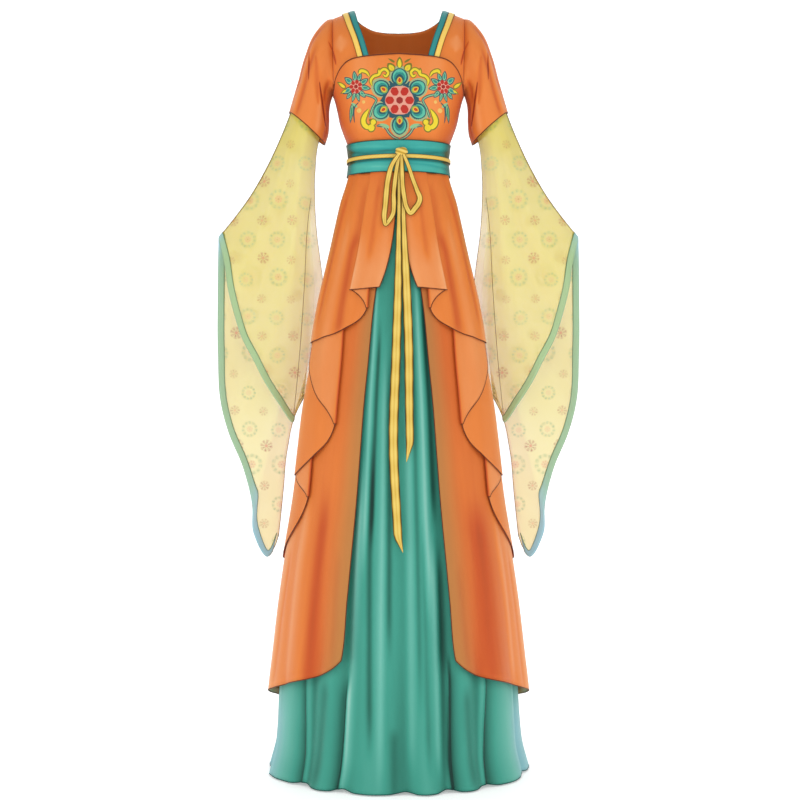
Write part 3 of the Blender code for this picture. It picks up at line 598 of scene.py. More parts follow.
def cloth(name, surface, flat, grid, stuff, node, held, area=None, rests_on=("sash",), rolls=(), closed=False,
          wall=SILK_WALL, radius=ROLL_RADIUS, lines=(), extras=()):
    """A piece of cloth laid over surface(u, v). Its stuff is a finish, a slot and a sewing thread. It gets a
    wall, rolled edges and stitched lines: each a name, the places u and v that it runs through, a radius."""
    finish, slot, thread = stuff
    mesh = laid_grid(name, surface, flat, *grid, closed=closed)
    piece = add_piece(name, mesh, finish, slot, node)
    if wall:
        shell = piece.modifiers.new("wall", "SOLIDIFY")
        shell.thickness, shell.offset = wall, 0.0
    edges = list(extras)
    for edge in rolls:
        count = grid[0] if edge in ("top", "hem") else grid[1]
        line = surface(*EDGES[edge](np.linspace(0, 1, count + 1)))[0]
        edges.append(thread_roll(f"{name}_{edge}_roll", line, radius, thread, slot))
    for label, path, thick in lines:
        line = surface(*on_line(np.array(path).T, np.linspace(0, 1, LINE_POINTS)).T)[0]
        edges.append(thread_roll(f"{name}_{label}", line, thick, thread, slot))
    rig.sheet(piece, flat=flat, held=held, area=area, rests_on=list(rests_on), with_pieces=edges)
    return piece


# Stops from painted shade through the teal dye to painted highlight.
TEAL_DYE_AND_SHADE = [
    (0.0, "0F3A32"), (0.22, "216A5A"), (0.5, "3F9D8A"), (0.76, "66B7A6"), (1.0, "9ED0C2"),
]
teal_silk = woven("teal_silk", TEAL_DYE_AND_SHADE, 0.55, 0.0011, tint="8FC0CE")
TEAL = (teal_silk, "teal_silk", sewing_thread("teal_thread", "0E3A38", "1F5A55"))

SKIRT_TOP = 0.303
# The front and back panels end a hair apart at each side, where they are sewn.
SEAM_TURN = 89.97
UNDERSKIRT_HEM = 1.506
UNDERSKIRT_FOLDS_TOP = 0.46
UNDERSKIRT_FOLDS = [
    # angle, width, out
    (-168, 7, 0.006), (-152, 6, -0.012), (-136, 7, 0.005), (-118, 6, -0.011), (-99, 6, 0.004),
    (-84, 5, -0.008), (-66, 7, 0.005), (-46, 5, -0.013), (-35, 5, 0.006), (-25, 4, -0.013), (-12, 5, 0.005),
    (3, 4, -0.01), (12, 4, 0.006), (22, 4, -0.013), (32, 5, 0.006), (41, 5, -0.012), (58, 7, 0.005),
    (74, 5, -0.009), (92, 7, 0.004), (111, 6, -0.012), (129, 7, 0.006), (146, 6, -0.011), (162, 6, 0.005),
    (178, 5, -0.011),
]
UNDERSKIRT_CREASES = [
    # angle, drift, top, foot, width, depth, lap, shine
    (-20.5, -3.5, 0.86, 1.5, 2.4, 0.0025, 0, 0.34), (-16.0, 3.0, 0.8, 1.4, 1.6, -0.003, 0, -0.3),
    (-8.6, 0.5, 0.62, 1.46, 1.7, 0.0018, 0, 0.24), (-5.4, 1.0, 0.66, 1.22, 1.5, -0.0022, 0, -0.26),
    (-16.8, -1.0, 0.46, 1.06, 1.4, 0.0018, 0, 0.28), (-13.4, -0.8, 0.6, 1.02, 1.4, -0.002, 0, -0.34),
    (19.0, 1.0, 0.52, 0.98, 2.0, -0.002, 0, -0.34), (13.4, 1.4, 0.46, 1.14, 1.8, 0.002, 0, 0.3),
    (9.4, 0.5, 0.58, 1.3, 1.3, -0.0016, 0, -0.2), (5.4, 0.6, 0.66, 1.45, 2.0, 0.002, 0, 0.24),
    (12.6, 0.8, 0.98, 1.44, 1.4, -0.0018, 0, -0.16), (21.8, 1.2, 1.02, 1.49, 1.7, -0.0028, 0, -0.26),
    (17.4, 1.0, 1.0, 1.46, 1.7, 0.002, 0, 0.26), (-24.0, -2.6, 1.28, 1.52, 3.4, 0.0085, 1, 0.24),
    (24.4, -1.0, 1.24, 1.52, 3.4, 0.0085, -1, 0.22), (-50.0, 3.0, 1.22, 1.52, 4.2, 0.0085, 1, 0.22),
    (46.0, -5.0, 1.26, 1.52, 4.2, 0.0085, -1, 0.22), (-36.0, -2.0, 1.28, 1.5, 2.6, -0.003, 0, -0.18),
    (33.0, 1.0, 1.3, 1.5, 2.6, -0.003, 0, -0.18), (-2.0, 0.0, 1.38, 1.51, 2.2, -0.003, 0, -0.16),
    (-76.0, 2.0, 1.1, 1.52, 4.5, 0.007, 1, 0.2), (70.0, 3.0, 1.16, 1.52, 4.5, 0.007, -1, 0.2),
    (104.0, -2.0, 1.02, 1.52, 4.6, 0.0075, -1, 0.22), (-108.0, 3.0, 1.1, 1.52, 4.6, 0.007, 1, 0.22),
    (126.0, 2.0, 0.9, 1.48, 3.4, 0.004, 0, 0.18), (-131.0, 1.0, 0.96, 1.5, 3.4, 0.004, 0, 0.16),
    (150.0, -3.0, 1.14, 1.52, 4.4, 0.008, -1, 0.22), (-156.0, 2.0, 1.06, 1.52, 4.4, 0.008, 1, 0.22),
    (173.0, 2.0, 0.98, 1.49, 3.0, -0.003, 0, -0.22), (-176.0, -2.0, 1.2, 1.5, 2.6, 0.003, 0, 0.16),
]


def underskirt(first, last):
    def surface(u, v):
        angle = mix(first, last, u)
        drop = mix(SKIRT_TOP, UNDERSKIRT_HEM, v**0.92)
        out = broad_folds(UNDERSKIRT_FOLDS, angle, drop, UNDERSKIRT_FOLDS_TOP, UNDERSKIRT_HEM)
        rise = 0.35 * np.minimum(out, 0.0) * ease((drop - 1.3) / 0.2)
        crease, light = creases(UNDERSKIRT_CREASES, angle, drop)
        aside = np.abs(signed(angle))
        aside = np.minimum(aside, 180 - aside)
        low = ease((drop - 1.2) / 0.2)
        # Painted shade in the fold troughs and creases and painted highlight on their ridges; lighter towards the
        # sides near the hem.
        tone = 0.50 + 15 * out + 1.1 * light + (-0.03 + 0.24 * ease((aside - 42) / 26)) * low
        tint = 0.72 * ease((aside - 58) / 20) * ease((drop - 1.3) / 0.12)
        # Painted shade at the top, under the overlay.
        return skirt(angle, drop + rise, out + crease), (tone - 0.06 * ease((0.80 - drop) / 0.3), tint)

    return surface


for node, turn, grid in (("underskirt_front", 0, (250, 120)), ("underskirt_back", 180, (190, 100))):
    panel = underskirt(turn - SEAM_TURN, turn + SEAM_TURN)
    cloth(f"{node}_silk", panel, (0.90, 1.22), grid, TEAL, node, "hung", area=0.69, rolls=["hem"])

# ------------------------------------------------------------------ overskirt
# A calf-length skirt of orange silk over the teal one: two front panels that part from the waist down, and
# a back panel that hangs a little lower. Its edges are rolled and whipped with brown thread.
# Stops from painted shade through the orange dye to painted highlight.
ORANGE_DYE_AND_SHADE = [
    (0.0, "8A3310"), (0.22, "C9541F"), (0.5, "E68036"), (0.75, "F0A066"), (1.0, "F7CDA6"),
]
# Its tint is an olive painted shade.
orange_silk = woven("orange_silk", ORANGE_DYE_AND_SHADE, 0.55, 0.0011, tint="94854C")
brown_thread = sewing_thread("brown_thread", "4A1D10", "7A3A20")
ORANGE = (orange_silk, "orange_silk", brown_thread)

OVERSKIRT_FOLDS = [
    (-163, 8, 0.007), (-141, 6, -0.008), (-119, 8, 0.007), (-99, 6, -0.007), (-80, 7, 0.005),
    (-62, 6, -0.006), (-50, 6, 0.005), (-38, 4, -0.008), (38, 4, -0.008), (49, 6, 0.005), (64, 6, -0.006),
    (82, 7, 0.005), (101, 6, -0.007), (121, 8, 0.007), (144, 6, -0.008), (170, 9, 0.006),
]
OVERSKIRT_CREASES = [
    # angle, drift, top, foot, width, depth, lap, shine
    (-42.5, -1.0, 0.92, 1.34, 3.6, -0.0016, 0, -0.24), (-56.0, -3.0, 0.94, 1.31, 4.2, 0.002, 0, 0.2),
    (-31.0, 1.0, 1.04, 1.29, 2.2, -0.0012, 0, -0.08), (-70.0, -4.0, 1.04, 1.33, 2.4, -0.002, 0, -0.18),
    (45.0, 2.0, 0.94, 1.32, 7.0, -0.0016, 0, -0.22), (37.0, 1.0, 1.0, 1.26, 2.4, 0.0012, 0, 0.02),
    (30.0, 2.0, 1.06, 1.29, 2.0, -0.0012, 0, -0.08), (61.0, 3.0, 0.98, 1.31, 2.6, 0.002, 0, 0.18),
    (73.0, 2.0, 1.04, 1.34, 2.4, -0.002, 0, -0.16), (101.0, 2.0, 1.06, 1.38, 2.6, -0.0022, 0, -0.26),
    (118.0, -3.0, 0.98, 1.34, 3.0, 0.0026, 0, 0.18), (139.0, 2.0, 1.1, 1.4, 2.4, -0.0022, 0, -0.26),
    (158.0, 1.0, 1.02, 1.36, 2.8, 0.0026, 0, 0.18), (176.0, -2.0, 1.08, 1.4, 2.4, -0.002, 0, -0.24),
    (-106.0, -2.0, 1.04, 1.38, 2.6, -0.0022, 0, -0.24), (-123.0, 3.0, 1.0, 1.36, 3.0, 0.0026, 0, 0.16),
    (-144.0, -2.0, 1.08, 1.4, 2.4, -0.0022, 0, -0.26), (-163.0, 2.0, 1.0, 1.37, 2.8, 0.0026, 0, 0.18),
]
OVERSKIRT_EDGE = table(
    "drop angle",
    (0.303, 4.0), (0.43, 11.0), (0.56, 17.5), (0.74, 20.5), (0.9, 22.0), (1.15, 24.2), (1.26, 25.6),
    (1.29, 27.0),
)
OVERSKIRT_FOLDS_TOP = 0.93
OVERSKIRT_HEM = table(
    "angle drop",
    (27, 1.284), (38, 1.297), (59, 1.32), (80, 1.345), (100, 1.368), (140, 1.395), (180, 1.4),
)


SIDES = ((1, "left"), (-1, "right"))


def overskirt(side, first, last):
    """Between two angles; a first of None starts at the front edge."""
    def surface(u, v):
        hem_angle = mix(OVERSKIRT_EDGE["angle"][-1] if first is None else first, last, u)
        hem = read(OVERSKIRT_HEM, "drop", np.minimum(np.abs(hem_angle), 360 - np.abs(hem_angle)))
        hem = hem - (0.022 * (1 - u) ** 14 if first is None else 0.0)
        drop = mix(SKIRT_TOP, hem, v)
        edge = read(OVERSKIRT_EDGE, "angle", drop) if first is None else first
        angle = side * mix(edge, last, u)
        out = broad_folds(OVERSKIRT_FOLDS, angle, drop, OVERSKIRT_FOLDS_TOP, hem)
        crease, light = creases(OVERSKIRT_CREASES, angle, drop)
        around = np.abs(signed(angle))
        rim = np.minimum(around, 180 - around)
        # Painted shade in fold troughs and creases, painted highlight on their ridges and towards the sides, and
        # painted shade at the top under the overlay.
        tone = 0.45 + 14 * out + light + 0.31 * ease((rim - 52) / 30) - 0.06 * ease((0.92 - drop) / 0.2)
        # Painted shade over the whole left front panel.
        tone = tone - (0.05 if side == 1 and first is None else 0.0)
        # Painted light lifts the back panel's hem at the sides, where shade falls inside it.
        if first is not None:
            tone = tone + 0.24 * ease((v - 0.92) / 0.07) * ease((108 - around) / 16)
        # The tint: olive painted shade along the front panels' front edges, beside the teal.
        tint = 0.50 * ease((15 - (around - edge)) / 15) * ease((drop - 0.45) / 0.2) if first is None else 0.0
        points = skirt(angle, drop, read(SKIRT, "overskirt", drop) + out + crease)
        return points, (tone, tint)

    return surface


for side, name in SIDES:
    cloth(
        f"overskirt_{name}_silk", overskirt(side, None, SEAM_TURN), (0.42, 1.04), (110, 80), ORANGE,
        f"overskirt_{name}_front", "hung", area=0.215, rolls=["hem", "front"],
    )
cloth(
    "overskirt_back_silk", overskirt(1, 180 - SEAM_TURN, 180 + SEAM_TURN), (0.84, 1.10), (190, 80), ORANGE,
    "overskirt_back", "hung", area=0.62, rolls=["hem"],
)

# ------------------------------------------------------------------ overlay
# A third, shorter layer of the same orange silk, draped in a waterfall: on each side one long sheet zigzags
# from its front edge to the side seam, so that its slanting hem shows as a cascade of turned folds.
OVERLAY_TOP = 0.3295
SIDE_SEAM = 91.0
FOLD_TURN = 1.2
OVERLAY_FOLDS = table(
    "fold waist hem drop bend sweep",
    (0, 2.0, 14.0, 0.557, 2.5, 1.0), (1, 33.0, 37.0, 0.561, 1.0, 1.0), (2, 24.0, 22.0, 0.597, 1.0, 2.3),
    (3, 70.0, 80.0, 0.661, 0.9, 1.25), (4, 56.0, 38.0, 0.82, -2.0, 1.8), (5, 82.0, 77.0, 0.922, 1.0, 1.0),
    (6, 73.0, 55.0, 0.961, -1.5, 1.5), (7, SIDE_SEAM, SIDE_SEAM, 1.088, 1.0, 1.0),
)
SHEET_COLUMNS = (18, 6, 30, 18, 24, 10, 16)
TIP_SHARES = (0.25, 0.5, 0.75)
LAYER_AT_WAIST, LAYER_BELOW = 0.0021, 0.0031
LAP_BENEATH = 3.5
# The places across the overlay: the sheet, the share of the way across it, and the share of the way round
# the fold that follows it.
STATIONS = []
for sheet, columns in enumerate(SHEET_COLUMNS):
    STATIONS += [(sheet - 1, 1.0, share) for share in TIP_SHARES if sheet]
    STATIONS += [(sheet, i / columns, 0.0) for i in range(columns + 1)]
STATIONS = np.array(STATIONS)
OVERLAY_CREASES = [
    # angle, drift, top, foot, width, depth, lap, shine
    (9.0, 5.0, 0.36, 0.58, 3.6, 0.0012, 0, 0.08), (20.0, 4.0, 0.33, 0.5, 2.6, -0.0012, 0, -0.14),
    (38.5, 0.5, 0.34, 0.47, 3.6, -0.001, 0, -0.12), (41.5, 2.5, 0.43, 0.64, 3.8, -0.0012, 0, -0.26),
    (51.0, 4.0, 0.4, 0.7, 4.0, 0.0014, 0, 0.1), (61.0, 6.0, 0.33, 0.62, 2.8, -0.0014, 0, -0.2),
    (70.0, 2.0, 0.46, 0.86, 3.6, 0.0014, 0, 0.1), (79.0, 2.0, 0.62, 0.95, 2.6, -0.0014, 0, -0.16),
]


def fold_angle(fold, drop):
    """Where this fold line runs at this drop."""
    waist, hem, bend = (OVERLAY_FOLDS[column][fold] for column in ("waist", "hem", "bend"))
    down = np.clip((drop - OVERLAY_TOP) / (OVERLAY_FOLDS["drop"][fold] - OVERLAY_TOP), 0, 1)
    late, early = down ** np.abs(bend), 1 - (1 - down) ** np.abs(bend)
    return mix(waist, hem, np.where(bend > 0, late, early))


def overlay_sheet(sheet, share, v):
    """The angle, the drop and the distance out of a place on one sheet. Every second sheet runs back, under
    the one before it and over the one after it."""
    start, end = OVERLAY_FOLDS["drop"][sheet], OVERLAY_FOLDS["drop"][sheet + 1]
    drop = mix(OVERLAY_TOP, mix(start, end, 1 - (1 - share) ** OVERLAY_FOLDS["sweep"][sheet]), v)
    turned = sheet % 2
    way = np.where(turned == 1, -FOLD_TURN, FOLD_TURN)
    first = fold_angle(sheet, drop) + np.where(sheet == 0, 0, way)
    last = fold_angle(sheet + 1, drop) - np.where(sheet == len(SHEET_COLUMNS) - 1, 0, way)
    rounded = np.choose(np.clip(sheet, 0, 2), (share, share * (2 - share), ease(share)))
    angle = mix(first, last, mix(share, rounded, 0.8))
    level = turned.astype(float)
    for inner in range(2, len(SHEET_COLUMNS), 2):
        beneath = fold_angle(np.full(sheet.shape, inner), drop) - LAP_BENEATH
        level = level + 2 * ease((angle - beneath + 10.0) / 10.0) * (inner >= sheet + turned + 2)
    layer = mix(LAYER_AT_WAIST, LAYER_BELOW, ease((drop - OVERLAY_TOP) / 0.0605))
    return angle, drop, read(SKIRT, "overlay", drop) + layer * level


def overlay(side):
    def surface(u, v):
        sheet, share, tip = STATIONS[np.rint(u * (len(STATIONS) - 1)).astype(int)].T
        sheet = sheet.astype(int)
        angle, drop, out = overlay_sheet(sheet, share, v)
        following = overlay_sheet(np.minimum(sheet + 1, len(SHEET_COLUMNS) - 1), np.zeros_like(share), v)
        out = mix(out, following[2], (1 - np.cos(math.pi * tip)) / 2)
        angle = angle + np.where(sheet % 2 == 1, -FOLD_TURN, FOLD_TURN) * np.sin(math.pi * tip)
        crease, light = creases(OVERLAY_CREASES, angle, drop)
        near_end, near_start = np.exp(-(1 - share) / 0.10), np.exp(-share / 0.10)
        outer, low = sheet % 2 == 0, ease((drop - 0.43) / 0.06)
        # Painted shade and highlight from the creases; the turned sheets get painted light where they lie in shade.
        tone = np.where(outer, 0.50, 0.60) + np.where(outer, light, 0.3 * light)
        # Painted highlight near the folds of the outer sheets, painted shade near the ends of the turned ones.
        edges = 0.16 * near_end * (sheet < 6) + 0.08 * near_start * (sheet > 0)
        tone = tone + np.where(outer, edges * low, -0.10 * near_end)
        # Painted shade along each turned fold.
        tone = tone - np.where(sheet > 0, 0.34, 0.42 * low) * np.sin(math.pi * tip)
        # Painted shade under the sash.
        tone = tone - 0.12 * np.exp(-((drop - OVERLAY_TOP) / 0.02))
        tone = tone + 0.14 * (sheet == 0) * ease((drop - 0.44) / 0.1)
        # Painted highlight towards the sides, more at the second sheet's hem.
        hem_shine = 0.30 * (sheet == 2) * ease((v - 0.88) / 0.1)
        tone = tone + (0.18 + hem_shine) * ease((angle - 66) / 20) * outer
        # The tint: olive painted shade at the upper sides.
        tint = 0.34 * ease((angle - 62) / 10) * ease((86 - angle) / 8) * ease((0.55 - drop) / 0.1)
        return skirt(side * angle, drop, out + crease), (tone, tint)

    return surface


for side, name in SIDES:
    cloth(
        f"overlay_{name}_silk", overlay(side), (0.75, 0.76), (len(STATIONS) - 1, 60), ORANGE,
        f"overlay_{name}_front", "gathered", area=0.245, rolls=["hem", "front"],
    )

OVERLAY_BACK_FOLDS = [
    (104, 6, 0.004), (127, 8, 0.006), (150, 7, 0.005), (174, 9, 0.007), (201, 8, 0.005), (229, 8, 0.006),
    (254, 6, 0.004),
]
OVERLAY_BACK_CREASES = [
    (98.0, 1.0, 0.34, 0.98, 2.6, -0.0016, 0, -0.2), (115.0, -2.0, 0.36, 1.06, 2.6, -0.0018, 0, -0.22),
    (139.0, 2.0, 0.34, 1.1, 2.4, -0.0018, 0, -0.22), (162.0, -1.0, 0.38, 1.08, 2.8, -0.0018, 0, -0.2),
    (188.0, 2.0, 0.34, 1.1, 2.4, -0.0018, 0, -0.24), (215.0, 2.0, 0.36, 1.06, 2.8, -0.0018, 0, -0.2),
    (242.0, -3.0, 0.34, 1.08, 2.4, -0.0018, 0, -0.22), (262.0, -1.0, 0.38, 1.0, 2.6, -0.0016, 0, -0.2),
]


OVERLAY_BACK_FOLDS_TOP = 0.50
OVERLAY_BACK_HEM = 1.125


def overlay_back(u, v):
    angle = mix(SIDE_SEAM + 0.03, 359.97 - SIDE_SEAM, u)
    hem = mix(OVERLAY_FOLDS["drop"][-1], OVERLAY_BACK_HEM, np.sin(math.pi * u))
    drop = mix(OVERLAY_TOP, hem, v)
    share = np.clip((drop - OVERLAY_BACK_FOLDS_TOP) / (hem - OVERLAY_BACK_FOLDS_TOP), 0, 1)
    stand = sum(out * bell((angle - place) / width) for place, width, out in OVERLAY_BACK_FOLDS)
    crease, light = creases(OVERLAY_BACK_CREASES, angle, drop)
    points = skirt(angle, drop, read(SKIRT, "overlay", drop) + stand * share + crease)
    # Painted highlight on the folds that stand out, painted shade on the creases and under the sash.
    return points, 0.46 + 26 * stand * share + light - 0.14 * np.exp(-((drop - OVERLAY_TOP) / 0.03))


cloth(
    "overlay_back_silk", overlay_back, (0.68, 0.80), (150, 70), ORANGE, "overlay_back", "hung", area=0.42,
    rolls=["hem"],
)

# ------------------------------------------------------------------ sash
# A wide sash of blue-green silk, wrapped round the waist over the tops of the skirts and the foot of the
# bodice. The yellow cord is drawn tight round its middle and dents it a little.
# Stops from olive-brown painted shade through the blue-green dye to painted highlight.
SASH_DYE_AND_SHADE = [
    (0.0, "3B4A26"), (0.18, "1F6F6A"), (0.5, "2B9C96"), (0.78, "4DB6A8"), (1.0, "7FCBB6"),
]
sash_silk = woven("sash_silk", SASH_DYE_AND_SHADE, 0.5, 0.0010)
sash_thread = sewing_thread("sash_thread", "163D36", "2A5A4C")
SASH = table(
    "drop half_width half_depth",
    (0.2675, 0.104, 0.0895), (0.298, 0.1008, 0.087), (0.3285, 0.1032, 0.0888),
)
SASH_WRINKLES = [
    # angle, drop, slant (drop for each degree), length in degrees, width, depth, light
    (-30, 0.279, 0.0001, 34, 0.003, 0.0007, 0.16), (-14, 0.288, -0.00012, 26, 0.0024, -0.0007, -0.2),
    (26, 0.281, -0.0001, 30, 0.0028, 0.0007, 0.14), (44, 0.289, -0.0002, 22, 0.0022, -0.0007, -0.2),
    (-58, 0.286, 0.00025, 22, 0.0024, -0.0007, -0.2), (12, 0.312, 0.00008, 30, 0.0028, -0.0006, -0.14),
    (-24, 0.318, 0.0001, 30, 0.0026, 0.0006, 0.14), (52, 0.316, 0.00012, 26, 0.0026, -0.0006, -0.14),
    (118, 0.284, 0.00012, 30, 0.0028, 0.0007, 0.14), (160, 0.29, -0.00008, 34, 0.0024, -0.0007, -0.18),
    (205, 0.282, 0.00006, 34, 0.0026, 0.0007, 0.14), (150, 0.316, 0.0001, 40, 0.0026, -0.0006, -0.14),
    (232, 0.314, -0.00012, 34, 0.0026, 0.0006, 0.12),
]
SASH_TOP = 0.2675
SASH_FOOT = 0.3285
CORD_DROP = 0.2985
CORD_DENT = 0.0007


def cord_level(angle):
    """The cord is drawn up a little in front, towards its knot, and lies lower at the sides."""
    return CORD_DROP + 0.0008 * (1 - np.cos(np.radians(angle)))


def round_waist(u, drop, out):
    a = 2 * math.pi * u
    width, depth = (half + out for half in read(SASH, "half_width half_depth", drop))
    return points_of(width * np.sin(a), -depth * np.cos(a), -drop)


def sash(u, v):
    drop, angle = mix(SASH_TOP, SASH_FOOT, v), 360 * u
    out, light = 0.0, 0.0
    # Each wrinkle moves the cloth and adds painted highlight where it rises and painted shade where it sinks.
    for at, level, slant, length, width, depth, shine in SASH_WRINKLES:
        away = signed(angle - at)
        near = np.exp(-((away / length) ** 2) - ((drop - level - slant * away) / width) ** 2)
        out, light = out + depth * near, light + shine * near
    pinch = bell((drop - cord_level(angle)) / 0.006)
    side = np.abs(np.sin(np.radians(angle)))
    # Darker above the cord and lighter near the foot; a painted shadow just under the cord and painted shade at the
    # sides.
    tone = 0.60 + light - 0.20 * ease((drop - 0.274) / 0.014) * (drop < CORD_DROP) + 0.10 * (drop > 0.31)
    tone = tone - 0.50 * bell((drop - cord_level(angle) - 0.0062) / 0.0026) - 0.55 * ease((side - 0.80) / 0.2)
    return round_waist(u, drop, out - CORD_DENT * pinch), tone


cloth(
    "sash_silk_band", sash, (0.64, 0.064), (200, 24), (sash_silk, "sash_teal_silk", sash_thread), "sash",
    "stretched", rests_on=["waist_cord"], rolls=["top", "hem"], closed=True,
)


WAIST_CORD_HALF = 0.0042
WAIST_CORD_OUT = 0.0021
TWIST_MARKS = 40


def waist_cord(u, v):
    a, angle = 2 * math.pi * v, 360 * u
    groove = 1 - 0.25 * bell(np.cos(a) / 0.2)
    puff = 0.0012 * np.sign(np.sin(a)) * np.abs(np.sin(a)) ** 0.7 * groove
    twist = np.sin(TWIST_MARKS * 2 * math.pi * u + 2.4 * np.cos(a)) ** 8
    # Painted shade darkens the cord's edges to brown; its twist marks are darker.
    tone = 0.84 - 0.84 * ease((np.abs(np.cos(a)) - 0.6) / 0.32) - 0.12 * twist
    return round_waist(u, cord_level(angle) + WAIST_CORD_HALF * np.cos(a), WAIST_CORD_OUT + puff), tone


cord_mesh = laid_grid("cord_round_the_waist", waist_cord, (0.62, 0.02), 220, 16, closed=True)
add_piece("cord_round_the_waist", cord_mesh, cord_silk, "yellow_cord", "waist_cord")

# ------------------------------------------------------------------ bodice
# A close bodice of orange silk: two shoulder pieces, a back panel, and a chest panel that laps over the
# shoulder pieces and their bands. Its foot is held under the sash. It is worked in coloured silks in front.
ARMPIT_DROP = 0.150
BODICE_FOOT = 0.2985
LAPPED = 0.0042
ARCH_DEPTH = 0.099
ARCH_WIDTH = 0.1335
ARMHOLE_X = 0.1275
# How far the shoulder piece and the sleeve are carried on over the armhole's seam.
YOKE_LAP, SLEEVE_LAP = 0.0004, 0.0005
BODICE = table(
    "drop half_width half_depth squareness",
    (0.15, 0.1335, 0.099, 4.0), (0.168, 0.1258, 0.0995, 3.6), (0.2, 0.117, 0.096, 3.0),
    (0.226, 0.1115, 0.0915, 2.6), (0.25, 0.103, 0.086, 2.3), (0.268, 0.096, 0.0815, 2.0),
    (0.2985, 0.093, 0.0795, 2.0),
)
CHEST_TOP = table(
    "reach drop",
    (0.0, 0.1015), (0.4, 0.1055), (0.57, 0.1085), (0.68, 0.1125), (0.78, 0.122), (0.85, 0.135),
    (0.91, 0.153), (0.96, 0.164), (1.0, 0.17),
)
NECK = table(
    "place inner_x inner_lean outer_x outer_lean",
    (0, 0.052, -81, 0.0755, -81), (1, 0.066, -61, 0.089, -61), (2, 0.079, -41, 0.1025, -41),
    (3, 0.086, -20, 0.1105, -20), (4, 0.089, 0, 0.113, 0), (5, 0.0875, 14, 0.1125, 16),
    (6, 0.078, 26, 0.1, 34), (7, 0.055, 36, 0.07, 47), (8, 0.028, 40, 0.036, 52), (9, 0.0, 41, 0.0, 53),
)


def shoulder_line(x):
    return 0.0112 - 1.407 * x * x


def arch(x, lean, out=0.0):
    """The shoulder form at this distance from the middle: lean 0 on top, -90 in front, 90 behind."""
    a = np.radians(lean)
    depth = ARCH_DEPTH * (1 - (np.abs(x) / ARCH_WIDTH) ** 4) ** 0.25
    rise = ARMPIT_DROP + shoulder_line(x)
    return points_of(x, (depth + out) * np.sin(a), -ARMPIT_DROP + (rise + out) * np.cos(a))


def strokes(rows, points):
    """How near these points are, seen from in front, to a few narrow creases; also how much painted shade (above 0,
    painted highlight) they add.
    """
    near, light = np.zeros(len(points)), np.zeros(len(points))
    for x, drop, to_x, to_drop, width, shine in rows:
        run = np.array((to_x - x, to_drop - drop))
        from_start = np.stack([points[:, 0] - x, -points[:, 2] - drop], axis=-1)
        share = np.clip(from_start @ run / (run @ run), 0, 1)
        away = np.linalg.norm(from_start - share[:, None] * run, axis=-1)
        away = away / (width * (0.35 + 0.65 * np.sin(math.pi * share)))
        mark = bell(away) * (points[:, 1] < 0)
        near, light = np.maximum(near, mark), light + shine * mark
    return near, light


def armhole_x(lean):
    return ARMHOLE_X + 0.004 * np.cos(np.radians(lean))


def torso(turn, drop, out=0.0):
    """The bodice's form: turn 0 at centre front, 1 at the wearer's left side, 2 at centre back."""
    side = np.where((turn < 0) | (turn > 2), -1, 1)
    share = np.where(turn > 2, 4 - turn, np.abs(turn))
    width, depth, square = read(BODICE, "half_width half_depth squareness", np.maximum(drop, ARMPIT_DROP))
    a = np.radians(90 * np.where(share <= 1, share, 2 - share) ** (square / 2))
    x, y = (width + out) * np.sin(a) ** (2 / square), (depth + out) * np.abs(np.cos(a)) ** (2 / square)
    rise = np.clip((ARMPIT_DROP - drop) / (ARMPIT_DROP + shoulder_line(x)), 0, 1)
    return points_of(side * x, np.where(share <= 1, -1, 1) * y * np.sqrt(1 - rise * rise), -drop)


def chest_panel(u, v):
    turn = 2 * u - 1
    reach = np.sin(np.radians(90 * turn * turn)) ** 0.5
    drop = mix(read(CHEST_TOP, "drop", reach), BODICE_FOOT, v)
    points = torso(turn, drop, LAPPED)
    # Painted shade towards the sides and towards the sash, with a lighter band between.
    side = ease((np.abs(turn) - 0.45) / 0.5)
    tone = 0.50 - 0.20 * side + 0.08 * bell((np.abs(turn) - 0.42) / 0.16) - 0.16 * ease((v - 0.55) / 0.4)
    return points, tone


def back_edge(drop):
    """How far round the back panel reaches, as a share of the way from centre back to the side."""
    lean = np.degrees(np.arccos(np.clip((ARMPIT_DROP - drop) / ARMPIT_DROP, 0, 1)))
    armhole = np.arcsin((armhole_x(lean) / ARCH_WIDTH) ** 2) / math.radians(90)
    return mix(armhole**0.5, 1.0, ease((drop - ARMPIT_DROP + 0.004) / 0.018)) - 0.0005


def back_bodice(u, v):
    share = 2 * u - 1
    x = torso(share * back_edge(0.030), ARMPIT_DROP)[:, 0]
    lean = np.interp(np.abs(x), NECK["inner_x"][:5:-1], NECK["inner_lean"][:5:-1])
    drop = mix(-arch(x, lean)[:, 2], BODICE_FOOT, v)
    lap = LAPPED * ease((np.abs(share) - 0.72) / 0.25) * ease((drop - ARMPIT_DROP) / 0.02)
    # Soft folds that move the back out a little and add painted highlight and painted shade.
    drape = sum(
        light * bell((np.abs(share) - at - 0.25 * (v - 0.5)) / 0.07) * ease((v - 0.25) / 0.4)
        for at, light in ((0.12, -0.16), (0.38, 0.10), (0.60, -0.18), (0.82, 0.06))
    )
    return torso(2 + share * back_edge(drop), drop, lap + 0.004 * drape), 0.50 + drape


ARMPIT_CREASES = [
    # x, drop, x and drop of its other end, width, light
    (0.1385, 0.068, 0.1285, 0.088, 0.0014, -0.34), (0.1285, 0.088, 0.1215, 0.119, 0.0016, -0.48),
    (0.114, 0.062, 0.112, 0.09, 0.012, 0.14),
]


def yoke(side):
    def surface(u, v):
        lean = mix(-92.0, 25.95, v)
        places, inner = NECK["inner_lean"], NECK["inner_x"]
        x = mix(read({"lean": places, "x": inner}, "x", lean), armhole_x(lean) + YOKE_LAP, u)
        points = arch(x, lean)
        # Painted shade along the armpit creases, drawn in colour only, and a soft painted highlight beside them.
        return points * (side, 1, 1), 0.49 + strokes(ARMPIT_CREASES, points)[1]

    return surface


